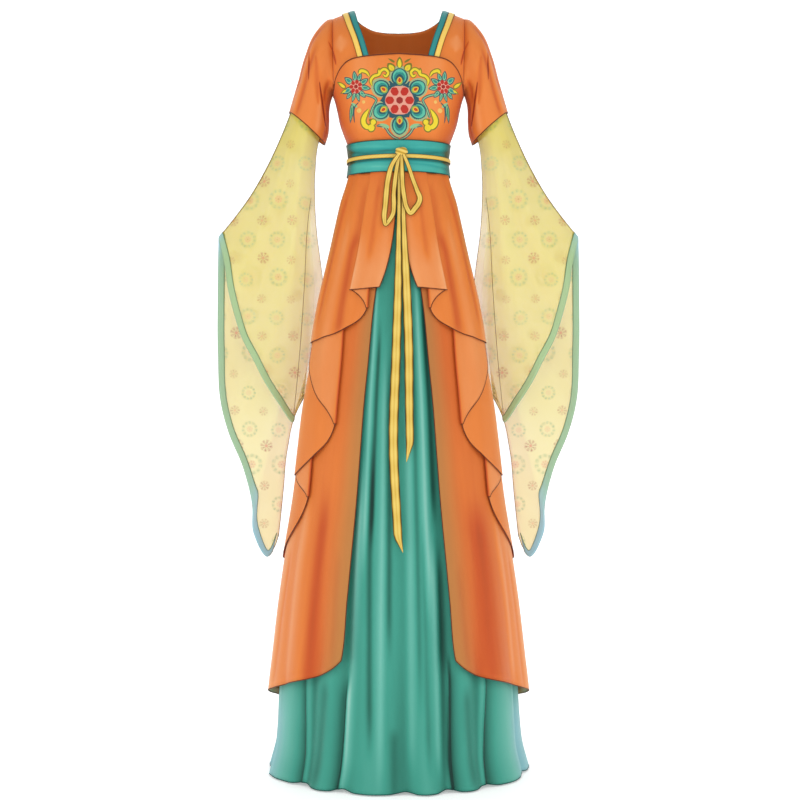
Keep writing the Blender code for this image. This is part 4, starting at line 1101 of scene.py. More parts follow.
# The chest is worked in satin stitch with a six-petalled rosette, a blossom and scrolls on each side, a bud
# above and hanging leaves: a traditional pattern. Every shape is padded, so it stands a little proud.
STITCH = 0.00194
ROSETTE_X = 0.0022
ROSETTE_DROP = 0.1930
ON_CHEST = LAPPED + 0.0003
DARK, RIM, BODY, PALE = linear_colour("125460"), linear_colour("A9BC86"), linear_colour("1E948A"), linear_colour("5CC8AA")
LIME, AMBER, EMBER = linear_colour("8FB04A"), linear_colour("F0C23C"), linear_colour("CC3D0C")
PINK, RED, WINE = linear_colour("EDA58E"), linear_colour("C5240F"), linear_colour("9E1A10")
LEMON, OLIVE, LEAF, MINT, STRAW = linear_colour("F4DC28"), linear_colour("7E7A1E"), linear_colour("2A8F66"), linear_colour("8CCB96"), linear_colour("F6C768")


def chest_front(x, drop, out):
    """The depth of the chest panel's face at this distance from the middle."""
    width, depth, square = read(BODICE, "half_width half_depth squareness", np.maximum(drop, ARMPIT_DROP))
    rise = np.clip((ARMPIT_DROP - drop) / (ARMPIT_DROP + shoulder_line(x)), 0, 1)
    share = (1 - np.clip(np.abs(x) / (width + out), 0, 1) ** square) ** (1 / square)
    return -(depth + out) * share * np.sqrt(1 - rise * rise)


def stitched(bm, colour, flat, place_of):
    """One padded shape: place_of(u, v) gives its points on the pattern, in stitches, and its height in mm."""
    silk, lie = bm.verts.layers.float_color["silk"], bm.loops.layers.uv["cloth"]
    made = bmesh.ops.create_grid(bm, x_segments=flat[0], y_segments=flat[1], size=0.5, calc_uvs=True)["verts"]
    u, v = (np.array([vertex.co for vertex in made])[:, :2] + 0.5).T
    across, up, height = place_of(u, v)
    x, drop = ROSETTE_X + STITCH * across, ROSETTE_DROP - STITCH * up
    points = points_of(x, chest_front(x, drop, ON_CHEST + 0.001 * height), -drop)
    for vertex, point in zip(made, points):
        vertex.co, vertex[silk] = point, colour
    for face in {face for vertex in made for face in vertex.link_faces}:
        for corner in face.loops:
            corner[lie].uv = (corner[lie].uv[0] * flat[2], corner[lie].uv[1] * flat[3])


def petal(bm, colour, at, turn, length, width, height, point=0.0, lobes=0, deep=0.0):
    """A rounded shape; point above 0 draws its far end out to a tip, and lobes scallop its edge."""
    a, spin = math.radians(turn), STITCH * math.pi * (length + width) / 2

    def place_of(u, v):
        b = 2 * math.pi * u
        reach = v * (1 + deep * np.cos(lobes * b))
        along = reach * length / 2 * np.cos(b)
        aside = reach * width / 2 * np.sin(b) * np.abs(np.sin(b / 2)) ** point
        across = at[0] + along * math.cos(a) - aside * math.sin(a)
        return across, at[1] + along * math.sin(a) + aside * math.cos(a), height * (1 - v**6)

    stitched(bm, colour, (24, 4, spin, STITCH * width / 2), place_of)


def scroll(bm, colour, line, height, wider=0.0):
    """A stitched line through (across, up, width) places, each made wider by this much."""
    rows = [(i, across, up, width + wider) for i, (across, up, width) in enumerate(line)]
    rows = table("along across up width", *rows)
    steps = 5 * (len(line) - 1)

    def place_of(u, v):
        t = v * (len(line) - 1)
        ahead, behind = np.minimum(t + 0.05, len(line) - 1), np.maximum(t - 0.05, 0)
        run = np.subtract(read(rows, "across up", ahead), read(rows, "across up", behind))
        run /= np.linalg.norm(run, axis=0)
        across, up, width = read(rows, "across up width", t)
        aside = (u - 0.5) * width * np.sqrt(np.clip(1 - (2 * v - 1) ** 12, 0, 1))
        return across - aside * run[1], up + aside * run[0], height * (1 - (2 * u - 1) ** 4)

    stitched(bm, colour, (6, steps, 0.004, 0.0016 * len(line)), place_of)


def pointing(turn):
    return np.array((math.cos(math.radians(turn)), math.sin(math.radians(turn))))


bm = bmesh.new()
bm.verts.layers.float_color.new("silk")
bm.loops.layers.uv.new("cloth")
petal(bm, DARK, (0, 0), 0, 44, 44, 0.15)
for across, up, turn, length, width, near in (
    (0.0, -24.7, -90, 19.0, 16.6, 20.2), (-18.9, -10.7, 209, 17.6, 17.0, 18.6),
    (18.9, -10.7, -29, 17.6, 17.0, 18.6), (-18.4, 12.5, 146, 17.6, 17.0, 19.4),
    (18.4, 12.5, 34, 17.6, 17.0, 19.4), (0.0, 23.7, 90, 18.6, 17.8, 20.0),
):
    ahead, middle = pointing(turn), np.array((across, up))
    for colour, moved, longer, wider, height, point in (
        (RIM, 0.3, 3.2, 3.0, 0.25, 0.1), (DARK, 0.0, 1.6, 1.6, 0.40, 0.1), (PALE, 0.0, -0.4, -0.4, 0.55, 0.1),
        (BODY, -0.9, -2.4, -2.4, 0.62, 0.1), (DARK, -1.8, -6.2, -5.4, 0.70, 0.2),
    ):
        petal(bm, colour, middle + moved * ahead, turn, length + longer, width + wider, height, point)
    for colour, long, wide, height in (
        (LIME, 10.4, 9.4, 0.78), (AMBER, 8.6, 7.0, 0.90), (EMBER, 6.4, 4.5, 1.02),
    ):
        petal(bm, colour, near * ahead, turn, long, wide, height, 0.25)
petal(bm, PINK, (0, 0), 0, 29.4, 29.4, 0.95, lobes=6, deep=0.035)
petal(bm, WINE, (0, 0), 30, 9.0, 9.0, 1.15, lobes=6, deep=0.04)
for k in range(6):
    petal(bm, RED, 9.4 * pointing(60 * k), 60 * k, 10.0, 9.4, 1.20, lobes=6, deep=0.03)
petal(bm, OLIVE, (0, 37.6), 90, 12.4, 7.4, 0.45, 0.5)
petal(bm, LEMON, (0, 37.2), 90, 10.6, 5.6, 0.70, 0.5)
for side in (1, -1):
    def both(across, up):
        return side * across, up

    def facing(turn):
        return turn if side == 1 else 180 - turn

    def leaves(*rows):
        for colour, across, up, turn, length, width, height, point in rows:
            petal(bm, colour, both(across, up), facing(turn), length, width, height, point)

    def placed(line):
        return [(*both(across, up), width) for across, up, width in line]

    leaves(
        (OLIVE, 8.5, 33.0, 52, 10.4, 8.6, 0.40, 0.3), (LEMON, 8.3, 32.6, 52, 8.4, 6.8, 0.60, 0.3),
        (AMBER, 7.6, 31.6, 52, 4.6, 3.0, 0.75, 0.3), (OLIVE, 8.2, 40.0, 32, 7.6, 2.8, 0.45, 0.8),
        (OLIVE, 20.8, 29.4, 96, 6.4, 3.8, 0.45, 0.5), (LEMON, 20.7, 29.0, 96, 4.8, 2.4, 0.65, 0.5),
        (MINT, 15.6, -24.8, 18, 11.0, 5.0, 0.30, 0.3),
    )
    stem = [
        (39.4, 6.2, 0.8), (33.2, 5.6, 1.3), (27.0, 3.6, 1.3), (23.4, 0.6, 1.2), (24.8, -3.4, 1.2),
        (27.0, -7.1, 1.3), (28.6, -11.6, 1.4), (30.6, -17.0, 1.2),
    ]
    foot = [
        (0.0, -38.0, 1.2), (5.6, -35.8, 1.3), (10.7, -31.4, 1.3), (14.0, -26.6, 1.3), (19.0, -24.4, 1.2),
        (23.4, -24.8, 0.6),
    ]
    upper = [
        (27.3, 13.6, 0.8), (28.8, 19.6, 2.8), (26.0, 23.8, 3.0), (21.0, 25.6, 3.0), (18.4, 29.6, 2.8),
        (14.6, 31.0, 3.0), (11.4, 27.6, 2.8), (13.6, 23.8, 2.4), (16.8, 26.0, 1.6),
    ]
    hook = [(30.2, 23.6, 1.2), (33.2, 28.1, 2.8), (38.4, 29.6, 3.6), (40.2, 26.6, 2.4)]
    lower = [
        (30.4, -7.6, 0.8), (34.4, -13.6, 4.5), (36.4, -18.6, 5.2), (35.0, -23.2, 5.0), (30.6, -26.4, 4.6),
    ]
    for line, rim, colour in (
        (stem, DARK, MINT), (foot, DARK, RIM), (upper, OLIVE, LEMON), (hook, OLIVE, LEMON),
        (lower, OLIVE, LEMON),
    ):
        scroll(bm, rim, placed(line), 0.30, 1.5)
        scroll(bm, colour, placed(line), 0.60)
    for across, up, size in ((28.4, -26.0, 7.4), (26.4, -20.8, 6.0)):
        petal(bm, OLIVE, both(across, up), 0, size + 1.4, size + 1.4, 0.32)
        petal(bm, LEMON, both(across, up), 0, size, size, 0.66)
    petal(bm, OLIVE, both(29.6, -18.6), 0, 2.6, 2.6, 0.85)
    blossom = np.array((43.7, 14.0))
    for across, up, turn, length, width in (
        (1.2, 10.4, 84, 10.0, 5.0), (7.6, 6.4, 40, 9.0, 6.4), (8.8, -3.4, -24, 9.0, 6.0),
        (-8.2, 4.8, 146, 9.0, 6.0), (-9.8, -1.6, 190, 9.4, 5.6), (-2.2, -10.2, -104, 8.6, 3.6),
        (2.4, -10.0, -72, 8.6, 3.6), (-6.6, -7.6, 228, 8.0, 5.0), (7.0, -8.0, -50, 7.0, 4.4),
        (-3.8, 9.2, 112, 8.0, 4.6),
    ):
        place = (blossom[0] + across, blossom[1] + up, turn)
        leaves(
            (DARK, *place, length + 1.2, width + 1.2, 0.30, 0.6), (MINT, *place, length, width, 0.45, 0.6),
            (BODY, *place, length - 2.4, width - 2.0, 0.58, 0.6),
        )
    petal(bm, PINK, both(*blossom), 0, 13.4, 13.4, 0.65, lobes=7, deep=0.05)
    for k in range(7):
        turn = 360 / 7 * k
        petal(bm, RED, both(*(blossom + 4.4 * pointing(turn))), facing(turn), 4.9, 4.3, 0.90)
    petal(bm, WINE, both(*blossom), 0, 4.8, 4.8, 0.95)
    leaves(
        (OLIVE, 58.4, 16.8, 38, 11.4, 5.4, 0.35, 0.8), (LEMON, 58.2, 16.6, 38, 9.8, 3.9, 0.55, 0.8),
        (OLIVE, 56.0, 10.4, -20, 7.8, 4.2, 0.35, 0.8), (LEMON, 55.8, 10.4, -20, 6.4, 2.8, 0.55, 0.8),
        (DARK, 48.6, -10.9, -82, 18.4, 5.6, 0.28, 0.8), (MINT, 48.6, -10.7, -82, 17.0, 4.4, 0.40, 0.8),
        (LEAF, 48.6, -10.7, -82, 14.4, 2.6, 0.55, 0.8),
    )
    vein = [(41.0, -1.0, 0.8), (45.0, -5.2, 1.4), (46.2, -10.7, 1.5), (45.4, -20.4, 0.8)]
    scroll(bm, DARK, placed(vein), 0.62)
    leaves((MINT, 45.6, -3.2, 38, 8.0, 3.4, 0.45, 0.8))
    petal(bm, STRAW, both(36.0, -1.0), 0, 3.2, 3.2, 0.80)
    petal(bm, STRAW, both(40.6, -8.9), 0, 4.8, 4.6, 0.95)
bmesh.ops.remove_doubles(bm, verts=bm.verts, dist=1e-6)
bmesh.ops.recalc_face_normals(bm, faces=bm.faces)

stitched_silk = Finish("stitched_silk", {"Roughness": 0.42, "Sheen Weight": 0.1, "Specular IOR Level": 0.35})
# Painted shade in the lines between the stitches, which also carry the bump.
thread_lines = (stitched_silk.lie()[1] * 9000).math("SINE")
worked = stitched_silk.shade("silk", "Color")
shaded = stitched_silk.blend(thread_lines * 0.11 + 0.11, worked, linear_colour("3A1206"))
raised = stitched_silk.add("Bump", {}, {"Height": thread_lines, "Strength": 0.4, "Distance": 0.0002})
stitched_silk.paint({"Base Color": shaded, "Normal": raised})
stitches = smooth_mesh("chest_embroidery", bm)
embroidery = add_piece("chest_embroidery", stitches, stitched_silk, "orange_silk")

cloth(
    "chest_panel_silk", chest_panel, (0.36, 0.19), (110, 44), ORANGE, "chest_panel", "stretched",
    rolls=["top"], radius=0.0012, extras=[embroidery],
    lines=[(f"side_{i}", ((u, u), (0.1, 1.0)), 0.0008) for i, u in enumerate((0.012, 0.988))],
)
cloth(
    "back_panel_silk", back_bodice, (0.35, 0.26), (90, 50), ORANGE, "back_bodice", "stretched", area=0.089,
    lines=[(f"armhole_{i}", ((u, u), (0.02, 0.44)), 0.0006) for i, u in enumerate((0.0, 1.0))],
)
for side, name in SIDES:
    cloth(
        f"{name}_shoulder_silk", yoke(side), (0.075, 0.235), (36, 80), ORANGE, f"{name}_yoke", "stretched",
        area=0.0150, rests_on=["back_panel_silk"],
    )

# ------------------------------------------------------------------ neck bands
# Two narrow bands of folded silk, one inside the other, sewn flat along the neckline on the shoulder pieces
# and round the back of the neck: blue-green next to the skin and yellow outside it.
# Both bands' stops run from painted shade through the dye to painted highlight.
YELLOW_DYE_AND_SHADE = [(0.0, "8A6420"), (0.3, "DDB042"), (0.6, "F6CC5C"), (1.0, "FFE394")]
BAND_DYE_AND_SHADE = [(0.0, "0B4244"), (0.4, "14787A"), (1.0, "45A6A0")]
yellow_silk = woven("yellow_band_silk", YELLOW_DYE_AND_SHADE, 0.5, 0.0008)
band_silk = woven("teal_band_silk", BAND_DYE_AND_SHADE, 0.5, 0.0008)


def neck_strip(f_inner, f_outer):
    """A band along the neckline, from the wearer's left front end round the back to the right."""
    def surface(u, v):
        place = 2 * NECK["place"][-1] * np.minimum(u, 1 - u)
        f = mix(f_inner, f_outer, v)
        inner_x, outer_x, inner_lean, outer_lean = read(NECK, "inner_x outer_x inner_lean outer_lean", place)
        x, lean = mix(inner_x, outer_x, f), mix(inner_lean, outer_lean, f)
        points = arch(x, lean, 0.0022 + 0.0009 * np.sqrt(np.clip(1 - (2 * v - 1) ** 2, 0, 1)))
        points[:, 0] *= np.where(u <= 0.5, 1, -1)
        # Painted shade at the band's folded edges.
        return points, 0.66 - 0.42 * np.abs(2 * v - 1) ** 5

    return surface


for name, inner, outer, node, stuff in (
    ("neck_band_teal", 0.02, 0.48, "neck_band_inner", (band_silk, "sash_teal_silk", sash_thread)),
    ("neck_band_yellow", 0.53, 0.98, "neck_band_outer", (yellow_silk, "yellow_cord", brown_thread)),
):
    cloth(
        name, neck_strip(inner, outer), (0.66, 0.011), (240, 8), stuff, node, "folded",
        rests_on=["left_shoulder_silk", "right_shoulder_silk", "back_panel_silk"], rolls=["top", "hem"],
        radius=0.0006,
    )

# ------------------------------------------------------------------ short sleeves
# A short, full sleeve of orange silk set into each armhole. It falls in a few soft folds from the shoulder,
# and its slanting hem covers the top of the gauze sleeve under it.
SHORT_SLEEVE_COLUMNS = "outer_x outer_drop inner_x inner_drop half_depth rounded"
SHORT_SLEEVE = table(
    "along " + SHORT_SLEEVE_COLUMNS,
    (0.0, 0.1325, 0.0125, 0.1285, 0.162, 0.0634, 0.0), (0.12, 0.147, 0.018, 0.133, 0.17, 0.064, 0.5),
    (0.3, 0.17, 0.045, 0.137, 0.181, 0.064, 0.9), (0.5, 0.186, 0.087, 0.1388, 0.197, 0.062, 1.0),
    (0.72, 0.2005, 0.14, 0.139, 0.222, 0.06, 1.0), (0.87, 0.21, 0.172, 0.141, 0.244, 0.058, 1.0),
    (1.0, 0.218, 0.2, 0.147, 0.263, 0.056, 1.0),
)
SLEEVE_FOLDS = [
    # turn at the armhole (0 on top of the arm, 90 in front, 180 below), drift to the hem, start, end, width,
    # depth, light
    (38, -16, 0.1, 0.85, 7.0, -0.0022, -0.3), (62, -8, 0.25, 1.05, 8.0, -0.0024, -0.32),
    (52, -10, 0.3, 1.05, 9.0, 0.0018, 0.16), (128, 12, 0.05, 0.6, 7.0, -0.0022, -0.34),
    (110, 14, 0.45, 1.05, 9.0, 0.002, 0.16), (152, 6, 0.4, 1.05, 9.0, -0.0022, -0.28),
    (300, 10, 0.15, 1.0, 9.0, -0.0022, -0.28), (322, 12, 0.25, 1.05, 8.0, 0.0018, 0.14),
    (268, -8, 0.4, 1.05, 9.0, -0.002, -0.24), (226, -8, 0.2, 0.95, 9.0, -0.002, -0.26),
]


SLEEVE_CREASES = [
    # x, drop, x and drop of its other end, width, light
    *ARMPIT_CREASES[:2],
    (0.1763, 0.085, 0.1763, 0.144, 0.0015, -0.46), (0.155, 0.15, 0.145, 0.23, 0.002, -0.62),
    (0.162, 0.1, 0.157, 0.19, 0.006, -0.16), (0.148, 0.185, 0.1445, 0.24, 0.0022, 0.12),
]


def armhole_ring(turn):
    """The armhole as a closed ring: turn 0 on the shoulder, 90 in front, 180 under the arm."""
    back = np.where(turn <= 180, -1, 1)
    turn = np.minimum(turn, 360 - turn)
    lean = np.minimum(0.75 * turn, 90.0)
    over = arch(armhole_x(lean), lean) + (SLEEVE_LAP, 0, 0)
    under = np.radians(90 * (180 - np.maximum(turn, 120.0)) / 60)
    depth = ARCH_DEPTH * (1 - (ARMHOLE_X / ARCH_WIDTH) ** 4) ** 0.25
    below = points_of(SHORT_SLEEVE["inner_x"][0], depth * np.sin(under), -ARMPIT_DROP - 0.012 * np.cos(under))
    return np.where((turn <= 120)[:, None], over, below) * points_of(1, back, 1)


def short_sleeve(side):
    def surface(u, v):
        turn = 360 * u
        a = np.radians(turn)
        share = (1 + np.cos(a)) / 2
        outer_x, outer_drop, inner_x, inner_drop, depth, rounded = read(SHORT_SLEEVE, SHORT_SLEEVE_COLUMNS, v)
        fold, light = 0.0, 0.0
        for at, drift, start, end, width, deep, shine in SLEEVE_FOLDS:
            away = signed(turn - at - drift * v)
            near = bell(away / width) * ease((v - start) / 0.2) * ease((end - v) / 0.15)
            fold, light = fold + deep * near, light + shine * near
        full = points_of(
            mix(inner_x, outer_x, share) + fold * np.cos(a) * 0.6,
            -(depth + fold) * np.sin(a),
            -mix(inner_drop, outer_drop, share) + fold * np.cos(a) * 0.6,
        )
        along = (outer_x + inner_x - SHORT_SLEEVE["outer_x"][0] - SHORT_SLEEVE["inner_x"][0]) / 2
        start = armhole_ring(turn) + points_of(mix(along, 0, rounded), 0, 0)
        points = mix(start, full, rounded[:, None])
        near, shade = strokes(SLEEVE_CREASES, points)
        points[:, 1] += 0.0014 * near
        # Painted highlight and painted shade on the folds, painted shade along the creases, at the armhole seam and
        # under the arm.
        tone = 0.52 + 0.7 * light + shade - 0.06 * np.exp(-v / 0.04) - 0.12 * ease((-np.cos(a) - 0.6) / 0.4)
        return points * (side, 1, 1), tone

    return surface


for side, name in SIDES:
    cloth(
        f"{name}_short_sleeve_silk", short_sleeve(side), (0.34, 0.23), (160, 70), ORANGE,
        f"{name}_short_sleeve", "hung", area=0.055,
        rests_on=[f"{name}_shoulder_silk", "back_panel_silk", "chest_panel_silk"], rolls=["hem"], closed=True,
        lines=[
            ("arm_line", ((0.012, 0.012), (0.1, 1.0)), 0.0007),
            ("underarm_line", ((0.488, 0.488), (0.15, 1.0)), 0.0007),
        ],
    )

# ------------------------------------------------------------------ gauze sleeves
# Wide hanging sleeves of thin yellow gauze with scattered flowers woven in. Each is one length folded at the
# top of the arm and sewn below it; it widens to a slanting opening, and its back layer hangs down in a tail.
GAUZE_OUTER_EDGE = table(
    "along x drop",
    (0.0, 0.1965, 0.142), (0.17, 0.2145, 0.2), (0.36, 0.2405, 0.264), (0.54, 0.268, 0.32),
    (0.69, 0.295, 0.366), (0.83, 0.324, 0.406), (1.0, 0.359, 0.449),
)
GAUZE_INNER_EDGE = table(
    "along x drop back",
    (0.0, 0.1425, 0.222, 0.0), (0.05, 0.157, 0.25, 0.0), (0.16, 0.167, 0.32, 0.0),
    (0.26, 0.1675, 0.38, 0.004), (0.38, 0.1635, 0.446, 0.014), (0.47, 0.157, 0.5, 0.03),
    (0.56, 0.1525, 0.548, 0.043), (0.7, 0.156, 0.62, 0.05), (0.84, 0.168, 0.688, 0.05),
    (1.0, 0.186, 0.758, 0.046),
)
GAUZE_FRONT_HEM = table(
    "across x drop",
    (0.0, 0.359, 0.449), (0.12, 0.346, 0.498), (0.25, 0.337, 0.554), (0.36, 0.327, 0.596),
    (0.49, 0.311, 0.648), (0.62, 0.285, 0.698), (0.7, 0.265, 0.738), (0.79, 0.239, 0.78),
    (0.874, 0.212, 0.818), (0.94, 0.206, 0.79), (0.98, 0.196, 0.77), (1.0, 0.186, 0.758),
)
GAUZE_BACK_HEM = table(
    "across x drop",
    (0.0, 0.359, 0.449), (0.07, 0.361, 0.5), (0.16, 0.362, 0.58), (0.27, 0.362, 0.68), (0.37, 0.359, 0.768),
    (0.47, 0.342, 0.84), (0.56, 0.312, 0.912), (0.64, 0.294, 0.985), (0.7, 0.292, 1.04),
    (0.76, 0.265, 1.09), (0.81, 0.243, 1.05), (0.88, 0.234, 0.958), (0.94, 0.225, 0.87), (0.98, 0.208, 0.8),
    (1.0, 0.186, 0.758),
)
TAIL_EDGE = {column: GAUZE_BACK_HEM[column][:9:-1] for column in ("drop", "x")}
FRONT_TIP_EDGE = {column: GAUZE_FRONT_HEM[column][:9] for column in ("drop", "x")}
GAUZE_FOLDS = [
    # across, width, in front, behind
    (0.22, 0.07, 0.004, -0.006), (0.45, 0.08, -0.006, 0.007), (0.66, 0.07, 0.005, -0.006),
    (0.86, 0.05, -0.009, 0.005),
]


def gauze_edge(rows, along):
    x, drop = read(rows, "x drop", along)
    return np.stack([x, -drop], axis=-1)


GAUZE_DEPTH_TOP, GAUZE_DEPTH_HEM = 0.053, 0.028


def gauze_tube(u, v):
    """The hanging sleeve: u runs from the top of the arm down the front layer to the seam and back."""
    a = 2 * math.pi * (u % 1)
    across, front = (1 - np.cos(a)) / 2, np.sin(a) >= -1e-9
    top, seam = gauze_edge(GAUZE_OUTER_EDGE, v), gauze_edge(GAUZE_INNER_EDGE, v)
    hems = []
    for rows in (GAUZE_FRONT_HEM, GAUZE_BACK_HEM):
        first, last = gauze_edge(rows, np.zeros(1)), gauze_edge(rows, np.ones(1))
        hems.append(gauze_edge(rows, across) - mix(first, last, across[:, None]))
    hem = np.where(front[:, None], *hems)
    flat = mix(top, seam, across[:, None]) + (v * ease(v / 0.25))[:, None] * hem
    fold = sum(
        np.where(front, ahead, behind) * bell((across - place) / width)
        for place, width, ahead, behind in GAUZE_FOLDS
    )
    tail = ~front & (across > 0.6) & (-flat[:, 1] > TAIL_EDGE["drop"][0])
    flat[:, 0] = np.where(tail, np.maximum(flat[:, 0], read(TAIL_EDGE, "x", -flat[:, 1])), flat[:, 0])
    y = mix(GAUZE_DEPTH_TOP, GAUZE_DEPTH_HEM, ease(v)) * np.abs(np.sin(a)) + fold * ease(v / 0.5)
    behind_skirt = read(GAUZE_INNER_EDGE, "back", v) * across**4
    return points_of(flat[:, 0], behind_skirt + np.where(front, -y, y), flat[:, 1])


# The gauze's stops: its yellow dye, with painted highlight at the high end.
GAUZE_DYE_AND_LIGHT = [(0.0, "A87C30"), (0.3, "D9BE54"), (0.5, "E5D460"), (1.0, "F2E98C")]
MOTIF_WIDE = 0.0600
MOTIF_HIGH = 0.0760


# The flowers: the middle of the star's petals from its own middle, and of the ring and the core from theirs.
STAR_REACH, RING_REACH, CORE_REACH = 0.0066, 0.0142, 0.0040


def gauze_finish():
    """Gauze with two woven flowers in staggered rows: a star of eight petals, and a core in a dotted ring."""
    finish = Finish("yellow_gauze", {"Roughness": 0.75, "Sheen Weight": 0.1, "Specular IOR Level": 0.15})
    place, wide, high = finish.lie()

    def flower(shift):
        """How far from its own middle each place is, at what angle, and how big and bright that flower is."""
        column, row = wide * (1 / MOTIF_WIDE) + shift, high * (1 / MOTIF_HIGH) + shift
        across, up = column.math("FRACT") - 0.5, row.math("FRACT") - 0.5
        cell = column.math("FLOOR") * 12.9 + row.math("FLOOR") * 78.2
        chance = (cell.math("SINE") * 437.5).math("FRACT")
        across, up = (across + chance * 0.14 - 0.07) * MOTIF_WIDE, (up - chance * 0.12 + 0.06) * MOTIF_HIGH
        reach = (across * across + up * up).math("SQRT") * (1.25 - chance * 0.45)
        return reach, up.math("ARCTAN2", across) + chance * 6.0, chance

    def within(value, edge, soft):
        """1 where the value is well under this edge and 0 over it."""
        steps = {"interpolation_type": "SMOOTHSTEP"}
        return finish.add("MapRange", steps, {0: value, 1: edge, 2: edge - soft})

    reach, around, chance = flower(0.0)
    petals = (around * 4).math("COSINE").math("ABSOLUTE")
    star = within((reach - STAR_REACH).math("ABSOLUTE"), 0.0052, 0.0026) * petals * (0.40 + chance * 0.35)
    heart = within(reach, 0.0034, 0.0016) * (0.25 + chance * 0.5)
    ragged = finish.noise(place, (260, 260, 0), 1) * 2.2 - 0.25
    star = star * ragged
    reach, around, chance = flower(0.5)
    dots = (around * 11).math("COSINE") * 0.35 + 0.65
    ring = within((reach - RING_REACH).math("ABSOLUTE"), 0.0048, 0.0040) * dots * ragged * 0.62
    seeds = (around * 7).math("COSINE") * 0.3 + 0.7
    core = within((reach - CORE_REACH).math("ABSOLUTE"), 0.0034, 0.0020) * seeds * (0.28 + chance * 0.30)
    pip = within(reach, 0.0022, 0.0012) * chance * 0.5
    tone = finish.shade("tone") + (finish.noise(place, (14, 14, 0), 2) - 0.5) * 0.16
    colour = finish.add("ValToRGB", {"stops": GAUZE_DYE_AND_LIGHT}, {"Fac": tone})
    silks = ((star, "AE7038"), (heart, "D2643A"), (ring, "8AAA62"), (core, "DC8456"), (pip, "C84A30"))
    for share, silk in silks:
        colour = finish.blend(share, colour, linear_colour(silk))
    cover = (1 - tone) * 0.36 + 0.42
    cover = cover + finish.shade("tint") + (star + heart + ring + core) * 0.16
    finish.paint({"Base Color": colour, "Alpha": cover})
    return finish


GAUZE = (gauze_finish(), "yellow_gauze", sewing_thread("gauze_thread", "54401E", "8C7038"))


GAUZE_FOLD_LINE = table(
    "drop x",
    (0.36, 0.172), (0.404, 0.178), (0.555, 0.188), (0.671, 0.197), (0.816, 0.2118),
)


def gauze_sleeve(side):
    def surface(u, v):
        points = gauze_tube(u, v)
        across = (1 - np.cos(2 * math.pi * u)) / 2
        drop = -points[:, 2]
        inner = ease((across - 0.84) / 0.12) * ease((drop - 0.34) / 0.1)
        behind = points[:, 0] - read(FRONT_TIP_EDGE, "x", drop)
        alone = (u > 0.5) * ease((drop - 0.46) / 0.04) * ease(behind / 0.008)
        # Lighter towards the seam, and painted light lifts the strip beside the skirts, where shade falls; where the
        # back layer hangs alone, darker above and lighter towards the tail's foot.
        tone = 0.50 + 0.08 * across + 0.42 * inner + alone * mix(-0.05, 0.26, ease((drop - 0.74) / 0.22))
        closer = 0.14 * ease((0.31 - drop) / 0.06) + alone * mix(0.13, 0.23, ease((drop - 0.80) / 0.18))
        closer = closer - 0.08 * (u <= 0.5) * ease((drop - 0.50) / 0.12)
        return points * (side, 1, 1), (tone, closer), points[:, ::2] + (0.3 * (u > 0.5))[:, None]

    return surface


def gauze_fold():
    """The places that the sleeve's pressed fold runs through, from the elbow to the front layer's tip."""
    vs, us = np.linspace(0.24, 1.0, LINE_POINTS), np.linspace(0.26, 0.5, 600)
    for v in vs:
        points = gauze_tube(us, np.full(600, v))
        yield us[np.argmin(np.abs(points[:, 0] - read(GAUZE_FOLD_LINE, "x", -points[:, 2])))], v


fold_places = np.array(list(gauze_fold())).T
for side, name in SIDES:
    cloth(
        f"{name}_gauze", gauze_sleeve(side), (1.10, 0.70), (140, 90), GAUZE, f"{name}_gauze_sleeve", "hung",
        area=0.252, rests_on=[f"{name}_short_sleeve_silk"], closed=True, wall=0, rolls=["hem"], radius=0.0007,
        lines=[
            ("arm_line", ((0.004, 0.004), (0.10, 1.0)), np.linspace(0.0019, 0.0009, LINE_POINTS)),
            ("seam_line", ((0.5, 0.5), (0.03, 1.0)), 0.0006), ("fold_line", fold_places, 0.0005),
        ],
    )

# A narrow band of pale green silk is sewn round each opening, from the foot of the seam by the wrist to the
# tip of the tail. The dye runs to pale blue at the wrist and at the tip.
GREEN_DYES = [
    (0.0, "86B4C4"), (0.2, "A6D2DE"), (0.42, "A0C6AC"), (0.62, "A6C492"), (1.0, "B9D6A0"),
]
green_silk = woven("green_border_silk", GREEN_DYES, 0.6, 0.0009, mottle=0.05)
GREEN = (green_silk, "green_border", sewing_thread("green_thread", "4E6A4A", "7C9A70"))
BORDER_WIDTH = 0.0115
BORDER_OUT = 0.0013
# Where the band starts and how far it runs, in 26 parts round the opening.
OPENING_PARTS, BORDER_START, BORDER_RUN = 26, 10, 19


def gauze_border(side):
    """The band is folded over the gauze's edge: v runs up its outside to the edge and down its inside."""
    def surface(u, v):
        at = (BORDER_START - u * BORDER_RUN) / OPENING_PARTS % 1
        step = 0.01
        one = np.ones_like(u)
        hem = gauze_tube(at, one)
        up = (gauze_tube(at, one - step) - hem) / step
        round_hem = gauze_tube(at + step, one) - gauze_tube(at - step, one)
        reach = np.linalg.norm(np.cross(up, round_hem), axis=-1) / np.linalg.norm(round_hem, axis=-1)
        from_edge = np.minimum((np.abs(2 * v - 1) * 1.1 - 0.1) * BORDER_WIDTH / reach, 0.08)
        along = 1 - np.maximum(from_edge, 0)
        inward = gauze_tube(at, np.minimum(along + step, 1)) - gauze_tube(at, along - step)
        normal = np.cross(round_hem, inward)
        out = BORDER_OUT * np.clip((1 - 2 * v) * 5, -1, 1)
        points = gauze_tube(at, along) + out[:, None] * unit(normal)
        points += up * np.minimum(from_edge, 0)[:, None]
        blue = bell((u - 0.53) / 0.10) + ease((u - 0.88) / 0.10)
        return points * (side, 1, 1), 0.66 - 0.14 * (u > 0.526) - 0.42 * np.clip(blue, 0, 1)

    return surface


